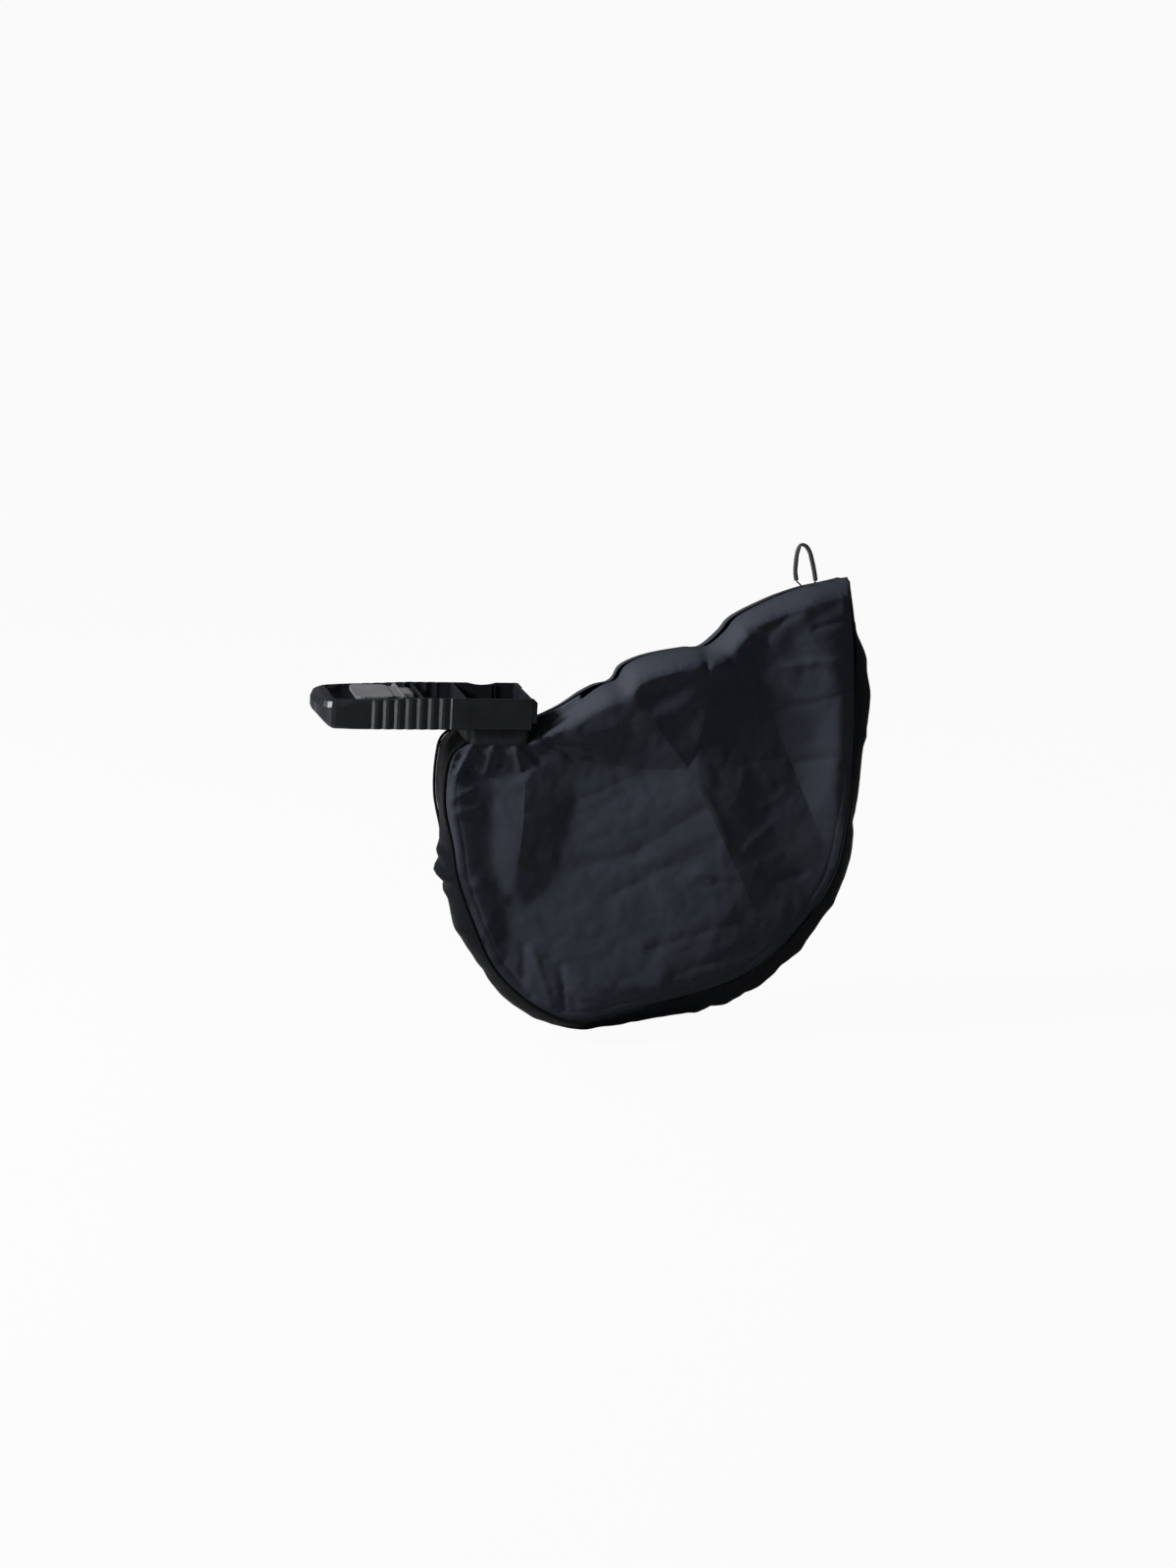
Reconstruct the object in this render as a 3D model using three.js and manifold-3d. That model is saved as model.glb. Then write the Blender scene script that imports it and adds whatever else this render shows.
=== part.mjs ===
// Collection bag of a hand-held leaf vacuum: a moulded frame with a grip and a rocker latch,
// and a sewn cloth bag with a zip along its straight top edge.
// Millimetres, +Z up, +X from the grip towards the duct, the seen side at -Y.
import * as THREE from "three";
import { mergeVertices } from "three/addons/utils/BufferGeometryUtils.js";
import Module from "manifold-3d";

const wasm = await Module();
wasm.setup();

// Frame moulding: x = 0 is the outer face of the end wall, z = 0 the rim
const frameDepth = 110;
const frameHeight = 40;
const ductLength = 85;
const wall = 2.5;
const rimWall = 4;
const dividerWall = 2;
const crossRibX = -138;
const springRibX = -145;
const springRibTop = -6;

// Flutes of the side walls
const fluteCount = 7;
const flutePitch = 14.2;
const fluteDepth = 2.3;
const fluteFrom = -203.5;
const fluteSteps = 4;

// Grip
const gripCornerX = -248;
const gripCornerLong = 22;
const gripCornerDeep = 35;
const gripBulge = 1;
const gripThickness = 27;
const gripTop = -3;
const gripBottom = -31;
const gripRound = 10;
const gripRibPitch = 8.5;
const gripRibHeight = 1.1;
const pivotWall = 5;

// Spigot that carries the neck of the bag
const spigotInset = 8;
const spigotHeight = 17;
const spigotRound = 9;

// Rocker latch
const pinX = -160;
const pinZ = -5;
const pinRadius = 1.5;
const barrelRadius = 4.2;
const padLength = 47;
const padFrontInset = 8;
const padBackInset = 20;
const padHeight = 5.5;
const padSkin = 2.4;
const padRound = 9;
const padStart = -174;
const noseReach = 14;
const noseWidth = 40;
const springWire = 0.55;
const springTurns = 4.5;
const springInset = 7.4;
const springLength = 9.1;

// Cloth
const cloth = 2;
const gap = 0.3;
const seamHalf = 46;
const hemHalf = 11;
const frontSwell = 18;
const backSwell = 18;
const pipingRadius = 2;
const rivetRadius = 1.6;
const rivetHead = 3.6;

// Zip: a straight line below the hems, from its lower stop up to the corner
const zipStartX = 79;
const zipStartZ = -22;
const zipSlope = 0.461;
const zipLength = 352;
const tapeThickness = 1;
const toothPitch = 10;
const toothWidth = 5;
const chainHeight = 2.2;
const chainHalf = 4;
const chainSlit = 0.6;
const sliderAt = 316;
const sliderLength = 16;
const stopLength = 5;
const lowerStopAt = 8;
const upperStopAt = 338;
const cordRadius = 1;
const sleeveRadius = 3.2;
const sleeveBore = 2.2;

// Point from which both side panels are laid out in rings
const layCentre = new THREE.Vector2(165, -150);

// Curved seam of a side panel, from the neck round the bottom to the top corner: x, z, half depth
const seamRoute = [
  [-79.5, -58.3, 45.5], [-95, -71, 43], [-101, -92, 38], [-102, -142, 36], [-91, -191, 40],
  [-84, -232, 45], [-66, -282, 46], [-33, -350, 46], [2, -387, 46], [39, -413, 46],
  [75, -425, 46], [176, -406, 46], [286, -374, 46], [337, -341, 46], [390, -277, 46],
  [414, -232, 46], [424, -180, 46], [429, -75, 46], [424, 25, 45], [421, 85, 34],
  [415, 151, hemHalf],
];

// Top edge of a side panel, from the neck up to the corner: x, z, half depth
const topRoute = [
  [-0.5, -58.3, 45.5], [16, -44, 38], [50, -23, 20], [79, -2, 12], [96, 7, hemHalf],
  [116, 13, hemHalf], [126, 30, hemHalf], [149, 43, hemHalf], [212, 57, hemHalf],
  [232, 58, hemHalf], [256, 78, hemHalf], [269, 95, hemHalf], [318, 122, hemHalf],
  [360, 138, hemHalf], [390, 145, hemHalf], [415, 151, hemHalf],
];

// Outward swell of the gusset along the seam: share of its length, millimetres
const gussetSwell = [
  [0, 0], [0.03, 2], [0.08, 1], [0.12, 11], [0.145, 19], [0.17, 16], [0.205, 21], [0.25, 16],
  [0.3, 22], [0.35, 21], [0.38, 28], [0.44, 34], [0.52, 42], [0.6, 39], [0.65, 37], [0.7, 31],
  [0.75, 25], [0.8, 26], [0.87, 35], [0.91, 30], [0.95, 13], [0.965, 7], [1, 4],
];

// Folds pressed into a panel: from, to, rise, reach to the left and right of the way
const frontFolds = [
  { from: [207, -88], to: [330, -327], rise: 13, left: 80, right: 170 },
  { from: [284, 63], to: [396, -188], rise: -13, left: 60, right: 80 },
  { from: [222, 52], to: [222, -35], rise: 9, left: 32, right: 40 },
  { from: [282, 62], to: [212, -78], rise: -6, left: 45, right: 28 },
  { from: [30, -50], to: [152, -21], rise: 8, left: 30, right: 36 },
  { from: [32, -62], to: [200, -90], rise: -7, left: 24, right: 60 },
  { from: [-3, -108], to: [-8, -215], rise: 8, left: 60, right: 35 },
  { from: [-38, -113], to: [-38, -225], rise: -8, left: 32, right: 40 },
  { from: [66, -100], to: [50, -220], rise: -6, left: 90, right: 55 },
];
const backFolds = [
  { from: [211, -82], to: [300, -330], rise: 10, left: 90, right: 120 },
  { from: [211, -82], to: [30, -240], rise: -8, left: 90, right: 70 },
  { from: [211, -82], to: [400, -100], rise: -9, left: 80, right: 80 },
  { from: [211, -82], to: [250, 50], rise: 7, left: 50, right: 50 },
];

const part = new THREE.Group();
part.position.x = rimWall / 2;

const finish = (color, roughness, metalness = 0) =>
  new THREE.MeshStandardMaterial({ color, roughness, metalness });
const blackPlastic = finish(0x1c1c1f, 0.5);
const greyPlastic = finish(0x36363a, 0.45);
const nonwoven = finish(0x1d1f26, 0.8);
const coated = finish(0x141519, 0.45);
const tapeCloth = finish(0x16171b, 0.85);
const steel = finish(0x8a8c90, 0.35, 0.9);
const darkSteel = finish(0x3a3a3c, 0.4, 0.85);

function add(name, geometry, material, parent = part) {
  const mesh = new THREE.Mesh(geometry, material);
  mesh.name = name;
  parent.add(mesh);
  return mesh;
}

function toSolid(geometry) {
  const bare = geometry.index ? geometry.toNonIndexed() : geometry.clone();
  bare.deleteAttribute("normal");
  bare.deleteAttribute("uv");
  const merged = mergeVertices(bare, 1e-4);
  return new wasm.Manifold(new wasm.Mesh({
    numProp: 3,
    vertProperties: new Float32Array(merged.attributes.position.array),
    triVerts: new Uint32Array(merged.index.array),
  }));
}

function toGeometry(solid) {
  const { vertProperties, triVerts } = solid.getMesh();
  const geometry = new THREE.BufferGeometry();
  geometry.setAttribute("position", new THREE.BufferAttribute(vertProperties, 3));
  geometry.setIndex(new THREE.BufferAttribute(triVerts, 1));
  return geometry;
}

function meshOf(points, index) {
  const geometry = new THREE.BufferGeometry();
  geometry.setFromPoints(points);
  geometry.setIndex(index);
  return geometry;
}

function box(x0, x1, y0, y1, z0, z1) {
  const geometry = new THREE.BoxGeometry(x1 - x0, y1 - y0, z1 - z0);
  return geometry.translate((x0 + x1) / 2, (y0 + y1) / 2, (z0 + z1) / 2);
}

// A rod along Y
function rod(radius, y0, y1, x, z, sides = 20) {
  const geometry = new THREE.CylinderGeometry(radius, radius, y1 - y0, sides);
  return geometry.translate(x, (y0 + y1) / 2, z);
}

function roundedRectangle(x0, x1, y0, y1, radius, steps = 3) {
  const corners = [[x1 - radius, y1 - radius], [x0 + radius, y1 - radius], [x0 + radius, y0 + radius],
    [x1 - radius, y0 + radius]];
  const points = [];
  corners.forEach(([cx, cy], corner) => {
    for (let step = 0; step <= steps; step++) {
      const angle = (corner + step / steps) * Math.PI / 2;
      points.push(new THREE.Vector2(cx + radius * Math.cos(angle), cy + radius * Math.sin(angle)));
    }
  });
  return points;
}

// A plan outline raised from z0 to z1
function raised(outline, z0, z1) {
  const geometry = new THREE.ExtrudeGeometry(new THREE.Shape(outline), { depth: z1 - z0, bevelEnabled: false });
  return geometry.translate(0, 0, z0);
}

// Rings of equal length joined to a closed body with flat ends
function loft(rings) {
  const size = rings[0].length;
  const index = [];
  for (let ring = 0; ring + 1 < rings.length; ring++) {
    for (let side = 0; side < size; side++) {
      const next = (side + 1) % size;
      const a = ring * size + side;
      const b = ring * size + next;
      index.push(a, b, b + size, a, b + size, a + size);
    }
  }
  const last = (rings.length - 1) * size;
  for (let side = 1; side + 1 < size; side++) {
    index.push(0, side + 1, side);
    index.push(last, last + side, last + side + 1);
  }
  return meshOf(rings.flat(), index);
}

// A skin of two like surfaces, joined along every open edge of the first
function skin(face, lining, triangles) {
  const count = face.length;
  const index = [];
  const open = new Map();
  for (const [a, b, c] of triangles) {
    index.push(a, b, c, count + a, count + c, count + b);
    for (const [p, q] of [[a, b], [b, c], [c, a]]) {
      if (!open.delete(`${q} ${p}`)) open.set(`${p} ${q}`, [p, q]);
    }
  }
  for (const [p, q] of open.values()) {
    index.push(q, p, count + p, q, count + p, count + q);
  }
  return meshOf([...face, ...lining], index);
}

// Triangles of a grid with the given rows and columns
function gridTriangles(rows, columns) {
  const triangles = [];
  for (let row = 0; row + 1 < rows; row++) {
    for (let column = 0; column + 1 < columns; column++) {
      const a = row * columns + column;
      triangles.push([a, a + 1, a + columns + 1], [a, a + columns + 1, a + columns]);
    }
  }
  return triangles;
}

function tube(curve, radius, sides, steps, bore = 0) {
  const ring = (r) => {
    const points = [];
    for (let side = 0; side < sides; side++) {
      const angle = side / sides * 2 * Math.PI;
      points.push(new THREE.Vector2(r * Math.cos(angle), r * Math.sin(angle)));
    }
    return points;
  };
  const section = new THREE.Shape(ring(radius));
  if (bore > 0) section.holes.push(new THREE.Path(ring(bore)));
  return new THREE.ExtrudeGeometry(section, { steps, extrudePath: curve, bevelEnabled: false });
}

const smooth = (value, from, to) => THREE.MathUtils.smoothstep(value, from, to);

// Side wall and grip as one lofted band that runs from the duct round the grip and back
function bandStation(x, y, inward, { width, top, bottom, roundOuter, roundInner }) {
  const place = (t, z) => new THREE.Vector3(x + inward.x * t, y + inward.y * t, z);
  const third = 0.3;
  return [
    place(roundInner, bottom),
    place(0, bottom + roundInner),
    place(0, top - roundOuter),
    place(third * roundOuter, top - third * roundOuter),
    place(roundOuter, top),
    place(width - roundInner, top),
    place(width, top - roundInner),
    place(width, bottom + roundInner),
    place(width - roundInner, bottom),
  ];
}

function fluteOffset(x) {
  const along = (x - fluteFrom) / flutePitch;
  if (along < -1e-6 || along > fluteCount + 1e-6) return 0;
  const phase = along - Math.floor(along + 1e-6) - 0.5;
  return fluteDepth * (Math.cos(phase * Math.PI) - 0.5);
}

function sideStation(x, side) {
  const fall = THREE.MathUtils.clamp((crossRibX - x) / (crossRibX - gripCornerX), 0, 1);
  const swell = smooth(-x, 222, -gripCornerX);
  const thick = wall + (pivotWall - wall) * smooth(-x, 125, 150) + 7 * swell;
  const y = side * (frameDepth / 2 + fluteOffset(x));
  return bandStation(x, y, new THREE.Vector2(0, -side), {
    width: thick,
    top: gripTop * fall,
    bottom: -frameHeight,
    roundOuter: Math.min(0.4 + gripRound * fall ** 1.3, thick * 0.85),
    roundInner: 0.4 + 3.6 * swell,
  });
}

function gripStation(x, y, outward, turn, rib) {
  const place = new THREE.Vector2(x, y).addScaledVector(outward, rib);
  const lift = smooth(turn, 0, 1);
  return bandStation(place.x, place.y, outward.clone().negate(), {
    width: pivotWall + 7 + (gripThickness - pivotWall - 7) * turn + rib,
    top: gripTop,
    bottom: -frameHeight + (frameHeight + gripBottom) * lift,
    roundOuter: gripRound,
    roundInner: 4 + 3 * lift,
  });
}

function bandRings() {
  const straights = [-rimWall / 2, fluteFrom + fluteCount * flutePitch + 2];
  for (let step = 0; step <= fluteCount * fluteSteps; step++) {
    straights.push(fluteFrom + (fluteCount - step / fluteSteps) * flutePitch);
  }
  straights.push(fluteFrom - 2, -218, -228, -236, -242);
  const cornerY = -frameDepth / 2 + gripCornerDeep;
  const ribAt = (travel) => travel < 0 ? 0 : gripRibHeight * (1 - Math.cos(travel / gripRibPitch * 2 * Math.PI)) / 2;
  const corner = (side, steps, ribbed) => {
    const rings = [];
    for (let step = 0; step <= steps; step++) {
      const turn = step / steps;
      const angle = turn * Math.PI / 2;
      const x = gripCornerX - gripCornerLong * Math.sin(angle);
      const y = cornerY - gripCornerDeep * Math.cos(angle);
      const outward = new THREE.Vector2(-Math.sin(angle) / gripCornerLong, -Math.cos(angle) / gripCornerDeep);
      const travel = ribbed ? (1 - turn) * 46 + 32 : -1;
      const rib = travel < 8 * gripRibPitch ? ribAt(travel) : 0;
      rings.push(gripStation(x, -side * y, outward.normalize().multiply(new THREE.Vector2(1, -side)), turn, rib));
    }
    return rings;
  };
  const bar = [];
  const barSteps = 16;
  for (let step = 1; step < barSteps; step++) {
    const y = cornerY * (1 - 2 * step / barSteps);
    const bulge = gripBulge * (1 - (y / cornerY) ** 2);
    const x = gripCornerX - gripCornerLong - bulge;
    bar.push(gripStation(x, y, new THREE.Vector2(-1, 0), 1, ribAt(y - cornerY - 8)));
  }
  return [
    ...straights.map((x) => sideStation(x, -1)),
    ...corner(-1, 6, false),
    ...bar,
    ...corner(1, 16, true).reverse(),
    ...straights.map((x) => sideStation(x, 1)).reverse(),
  ];
}

const ductInside = frameDepth / 2 - wall;
const spigot = {
  x0: -ductLength + spigotInset,
  x1: -rimWall + 1,
  half: frameDepth / 2 - spigotInset,
};
const spigotBottom = -frameHeight - spigotHeight;

function earProfile() {
  const reach = 7;
  const chamfer = 5;
  const underside = -31;
  return new THREE.Shape([
    new THREE.Vector2(-rimWall, underside), new THREE.Vector2(reach, underside),
    new THREE.Vector2(reach, -chamfer), new THREE.Vector2(reach - chamfer, 0),
    new THREE.Vector2(-rimWall, 0),
  ]);
}

function ear(side) {
  const thickness = 3;
  const geometry = new THREE.ExtrudeGeometry(earProfile(), { depth: thickness, bevelEnabled: false });
  geometry.rotateX(Math.PI / 2);
  return geometry.translate(0, side * (frameDepth / 2 - 1.3 - thickness / 2) + thickness / 2, 0);
}

const rivetPlaces = [
  { name: "neck_rivet_front", at: [-34, -1], axis: "y" },
  { name: "neck_rivet_back", at: [-34, 1], axis: "y" },
  { name: "neck_rivet_left", at: [-1, 0], axis: "x" },
  { name: "neck_rivet_right", at: [1, 0], axis: "x" },
];
const rivetZ = -frameHeight - 7;

// A round piece laid through the neck wall at a rivet's place, from t0 inside to t1 outside
function acrossNeck(place, radius, t0, t1, sides = 12) {
  const geometry = new THREE.CylinderGeometry(radius, radius, t1 - t0, sides);
  const middle = (t0 + t1) / 2;
  if (place.axis === "y") {
    return geometry.translate(place.at[0], place.at[1] * (spigot.half + middle), rivetZ);
  }
  geometry.rotateZ(Math.PI / 2);
  const face = place.at[0] < 0 ? spigot.x0 : spigot.x1;
  return geometry.translate(face + place.at[0] * middle, 0, rivetZ);
}

function frameMoulding() {
  const inside = ductInside + 1;
  const rings = bandRings();
  let solid = toSolid(loft(rings));
  if (solid.volume() < 0) solid = toSolid(loft(rings.map((ring) => ring.slice().reverse())));
  const spigotWall = [spigot.x0, spigot.x1, -spigot.half, spigot.half];
  const spigotHole = [spigot.x0 + wall, spigot.x1 - wall, -spigot.half + wall, spigot.half - wall];
  const joined = [
    box(-rimWall, 0, -frameDepth / 2, frameDepth / 2, -frameHeight, 0),
    box(-ductLength - dividerWall / 2, -ductLength + dividerWall / 2, -inside, inside, -frameHeight, 0),
    box(crossRibX - 1, crossRibX + 1, -inside, inside, -frameHeight, -1),
    box(springRibX - 1, springRibX + 1, -inside, inside, -frameHeight + 8, springRibTop),
    box(-ductLength, -rimWall / 2, -inside, inside, -frameHeight, -frameHeight + wall),
    box(-34, -32.5, ductInside - 2, inside, -frameHeight + 1, -2),
    box(-28.5, -27, ductInside - 2, inside, -frameHeight + 1, -2),
    raised(roundedRectangle(...spigotWall, spigotRound), spigotBottom, -frameHeight + 1),
    ear(-1),
    ear(1),
  ];
  for (const piece of joined) solid = solid.add(toSolid(piece));
  const notchRadius = 58.5;
  const notchDepth = 3;
  const cuts = [
    raised(roundedRectangle(...spigotHole, spigotRound - wall), spigotBottom - 1, -frameHeight + wall + 1),
    rod(notchRadius, ductInside - 3, frameDepth / 2 + 5, -45.5, notchRadius - notchDepth, 64),
    rod(pinRadius + gap, -frameDepth / 2 + 1.8, frameDepth / 2 - 1.8, pinX, pinZ),
    ...rivetPlaces.map((place) => acrossNeck(place, rivetRadius + gap, -wall - 1, 1)),
  ];
  for (const piece of cuts) solid = solid.subtract(toSolid(piece));
  return toGeometry(solid);
}

add("frame_moulding", frameMoulding(), blackPlastic);

// Rocker latch, its pin and its spring
const padFrontY = -frameDepth / 2 + padFrontInset;
const padBackY = frameDepth / 2 - padBackInset;
const springFront = -frameDepth / 2 + springInset;
const springBack = springFront + springLength;

function latchLever() {
  const end = padStart - padLength;
  const pad = toSolid(raised(roundedRectangle(end, padStart, padFrontY, padBackY, padRound), -padHeight, 0));
  const pocket = roundedRectangle(
    end + padSkin, padStart - padSkin, padFrontY + padSkin, padBackY - padSkin, padRound - padSkin);
  const barrelFront = springBack + 1;
  const barrelBack = frameDepth / 2 - pivotWall - fluteDepth / 2 - gap;
  const webFront = barrelFront + 2;
  const webBack = padBackY - 4;
  const nose = new THREE.Shape([
    new THREE.Vector2(0, -3), new THREE.Vector2(noseReach, 0), new THREE.Vector2(noseReach, 3.4),
    new THREE.Vector2(noseReach - 3, 4), new THREE.Vector2(0, 4),
  ]);
  const noseBody = new THREE.ExtrudeGeometry(nose, { depth: noseWidth, bevelEnabled: false });
  noseBody.rotateX(Math.PI / 2).translate(pinX, noseWidth / 2, pinZ);
  const solid = pad
    .subtract(toSolid(raised(pocket, -padHeight - 1, -padSkin)))
    .add(toSolid(rod(barrelRadius, barrelFront, barrelBack, pinX, pinZ, 24)))
    .add(toSolid(box(padStart - padSkin / 2, pinX, webFront, webBack, -padHeight, -1.4)))
    .add(toSolid(noseBody))
    .subtract(toSolid(rod(pinRadius + gap, barrelFront - 1, barrelBack + 1, pinX, pinZ)));
  return toGeometry(solid);
}

class SpringCurve extends THREE.Curve {
  getPoint(t, target = new THREE.Vector3()) {
    const radius = pinRadius + gap + springWire + 0.5;
    const angle = Math.PI / 2 + t * springTurns * 2 * Math.PI;
    const y = springFront + (springBack - springFront) * t;
    return target.set(pinX + radius * Math.cos(angle), y, pinZ + radius * Math.sin(angle));
  }
}

function leverSpring() {
  const coil = new SpringCurve();
  const points = [];
  const start = coil.getPoint(0);
  const end = coil.getPoint(1);
  const restZ = springRibTop + gap + springWire;
  points.push(new THREE.Vector3(springRibX + 3, start.y, restZ));
  points.push(new THREE.Vector3(springRibX - 3, start.y, restZ));
  const coilSteps = Math.round(springTurns * 12);
  for (let step = 0; step <= coilSteps; step++) points.push(coil.getPoint(step / coilSteps));
  const legZ = -padHeight - gap - springWire;
  points.push(new THREE.Vector3(padStart + 4, end.y, legZ));
  points.push(new THREE.Vector3(padStart - 12, end.y, legZ));
  const route = new THREE.CatmullRomCurve3(points, false, "centripetal");
  return tube(route, springWire, 5, 60);
}

add("latch_lever", latchLever(), greyPlastic);
add("lever_pin", rod(pinRadius, -frameDepth / 2 + 2.2, frameDepth / 2 - 2.2, pinX, pinZ, 16), steel);
add("lever_spring", leverSpring(), darkSteel);

// Neck band of doubled coated cloth round the spigot, held by four rivets
const bandSkin = 2.2;
function neckSleeve() {
  const inner = gap;
  const outer = gap + bandSkin;
  const outline = (grow) => roundedRectangle(
    spigot.x0 - grow, spigot.x1 + grow, -spigot.half - grow, spigot.half + grow, spigotRound + grow);
  const bottom = spigotBottom - 1;
  const top = -frameHeight - gap;
  let solid = toSolid(raised(outline(outer), bottom, top));
  solid = solid.subtract(toSolid(raised(outline(inner), bottom - 1, top + 1)));
  for (const place of rivetPlaces) {
    solid = solid.subtract(toSolid(acrossNeck(place, rivetRadius + gap, -1, outer + 1)));
  }
  return toGeometry(solid);
}

function rivet(place) {
  const seat = gap + bandSkin + gap;
  const shank = toSolid(acrossNeck(place, rivetRadius, -wall - gap - 0.5, seat + 0.5));
  const head = toSolid(acrossNeck(place, rivetHead, seat, seat + 1.2));
  const tail = toSolid(acrossNeck(place, rivetHead - 0.8, -wall - gap - 1, -wall - gap));
  return toGeometry(shank.add(head).add(tail));
}

add("neck_sleeve", neckSleeve(), coated);
for (const place of rivetPlaces) add(place.name, rivet(place), steel);

// Side panels
const toPoints = (route) => route.map(([x, z, half]) => new THREE.Vector3(x, half, z));
const seamCurve = new THREE.CatmullRomCurve3(toPoints(seamRoute), false, "centripetal");
const topCurve = new THREE.CatmullRomCurve3(toPoints(topRoute), false, "centripetal");
const seamSteps = 46;
const topSteps = 27;
const neckSteps = 4;
const seam = seamCurve.getSpacedPoints(seamSteps);
const topEdge = topCurve.getSpacedPoints(topSteps);

function panelBorder() {
  const neck = [];
  for (let step = 1; step < neckSteps; step++) neck.push(topEdge[0].clone().lerp(seam[0], step / neckSteps));
  return [...seam, ...topEdge.slice(0, -1).reverse(), ...neck];
}

const border = panelBorder();

function foldRise(folds, x, z) {
  let rise = 0;
  for (const fold of folds) {
    const dx = fold.to[0] - fold.from[0];
    const dz = fold.to[1] - fold.from[1];
    const length = Math.hypot(dx, dz);
    const along = ((x - fold.from[0]) * dx + (z - fold.from[1]) * dz) / length;
    const across = ((x - fold.from[0]) * dz - (z - fold.from[1]) * dx) / length;
    const past = Math.max(0, -along, along - length);
    const reach = across < 0 ? fold.left : fold.right;
    rise += fold.rise * Math.max(0, 1 - Math.hypot(across, past) / reach);
  }
  return rise;
}

const rings = [0.22, 0.4, 0.55, 0.68, 0.79, 0.88, 0.95, 1];

// Depth of a panel's outer face from the mid-plane at a share of the way to a border point
function panelDepth(edge, share, swell, folds) {
  const x = layCentre.x + (edge.x - layCentre.x) * share;
  const z = layCentre.y + (edge.z - layCentre.y) * share;
  const ease = Math.sin(Math.PI / 2 * Math.min(1, (1 - share) / 0.7));
  const depth = edge.y + (seamHalf - edge.y) * ease + swell * (1 - share ** 2) ** 0.8;
  return depth + cloth + foldRise(folds, x, z) * Math.min(1, (1 - share) / 0.14);
}

function panelSurface(side, swell, folds, shares, every) {
  const rim = border.filter((_, index) => index % every === 0);
  const points = [new THREE.Vector3(layCentre.x, side * panelDepth(rim[0], 0, swell, folds), layCentre.y)];
  const triangles = [];
  shares.forEach((share, ring) => {
    rim.forEach((edge, index) => {
      const x = layCentre.x + (edge.x - layCentre.x) * share;
      const z = layCentre.y + (edge.z - layCentre.y) * share;
      points.push(new THREE.Vector3(x, side * panelDepth(edge, share, swell, folds), z));
      const next = (index + 1) % rim.length;
      const here = 1 + ring * rim.length;
      if (ring === 0) {
        triangles.push([0, here + index, here + next]);
      } else {
        const below = here - rim.length;
        triangles.push([below + index, here + index, here + next]);
        triangles.push([below + index, here + next, below + next]);
      }
    });
  });
  const facing = side < 0 ? triangles : triangles.map(([a, b, c]) => [a, c, b]);
  return { points, triangles: facing };
}

function panelSolid({ points, triangles }, side) {
  const lining = points.map((point) => new THREE.Vector3(point.x, point.y - side * cloth, point.z));
  return skin(points, lining, triangles);
}

// Depth of a made surface over a point of the mid-plane
function depthOver(surface, x, z) {
  for (const [a, b, c] of surface.triangles) {
    const [p, q, r] = [surface.points[a], surface.points[b], surface.points[c]];
    const area = (q.x - p.x) * (r.z - p.z) - (r.x - p.x) * (q.z - p.z);
    const u = ((x - p.x) * (r.z - p.z) - (r.x - p.x) * (z - p.z)) / area;
    const v = ((q.x - p.x) * (z - p.z) - (x - p.x) * (q.z - p.z)) / area;
    if (u >= -1e-6 && v >= -1e-6 && u + v <= 1 + 1e-6) return Math.abs(p.y + u * (q.y - p.y) + v * (r.y - p.y));
  }
  return hemHalf + cloth;
}

const frontSurface = panelSurface(-1, frontSwell, frontFolds, rings, 1);
const backSurface = panelSurface(1, backSwell, backFolds, rings.filter((_, index) => index % 2 === 1), 1);
add("front_panel", panelSolid(frontSurface, -1), nonwoven);
add("back_panel", panelSolid(backSurface, 1), nonwoven);

// Gusset between the curved seams
function swellAt(share) {
  for (let index = 1; index < gussetSwell.length; index++) {
    const [from, low] = gussetSwell[index - 1];
    const [to, high] = gussetSwell[index];
    if (share <= to) return low + (high - low) * smooth(share, from, to);
  }
  return 0;
}

function seamOutward(index) {
  const before = seam[Math.max(0, index - 1)];
  const after = seam[Math.min(seam.length - 1, index + 1)];
  const along = new THREE.Vector3(after.x - before.x, 0, after.z - before.z).normalize();
  return new THREE.Vector3(along.z, 0, -along.x);
}

function gussetStrip() {
  const columns = 7;
  const face = [];
  const lining = [];
  seam.forEach((point, index) => {
    const outward = seamOutward(index);
    const swell = swellAt(index / (seam.length - 1));
    for (let column = 0; column < columns; column++) {
      const across = -1 + 2 * column / (columns - 1);
      const place = new THREE.Vector3(point.x, across * (point.y - gap), point.z);
      place.addScaledVector(outward, swell * (1 - across ** 2));
      face.push(place);
      lining.push(place.clone().addScaledVector(outward, -cloth));
    }
  });
  return skin(face, lining, gridTriangles(seam.length, columns));
}

function piping(side) {
  const sides = 6;
  const loops = [];
  for (let index = 1; index < seam.length; index++) {
    const outward = seamOutward(index);
    const centre = new THREE.Vector3(seam[index].x, side * (seam[index].y + cloth * 0.8), seam[index].z);
    centre.addScaledVector(outward, pipingRadius + gap);
    const loop = [];
    for (let corner = 0; corner < sides; corner++) {
      const angle = (corner + 0.5) / sides * 2 * Math.PI;
      const place = centre.clone().addScaledVector(outward, pipingRadius * Math.cos(angle));
      place.y += pipingRadius * Math.sin(angle);
      loop.push(place);
    }
    loops.push(loop);
  }
  return loft(loops);
}

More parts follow.
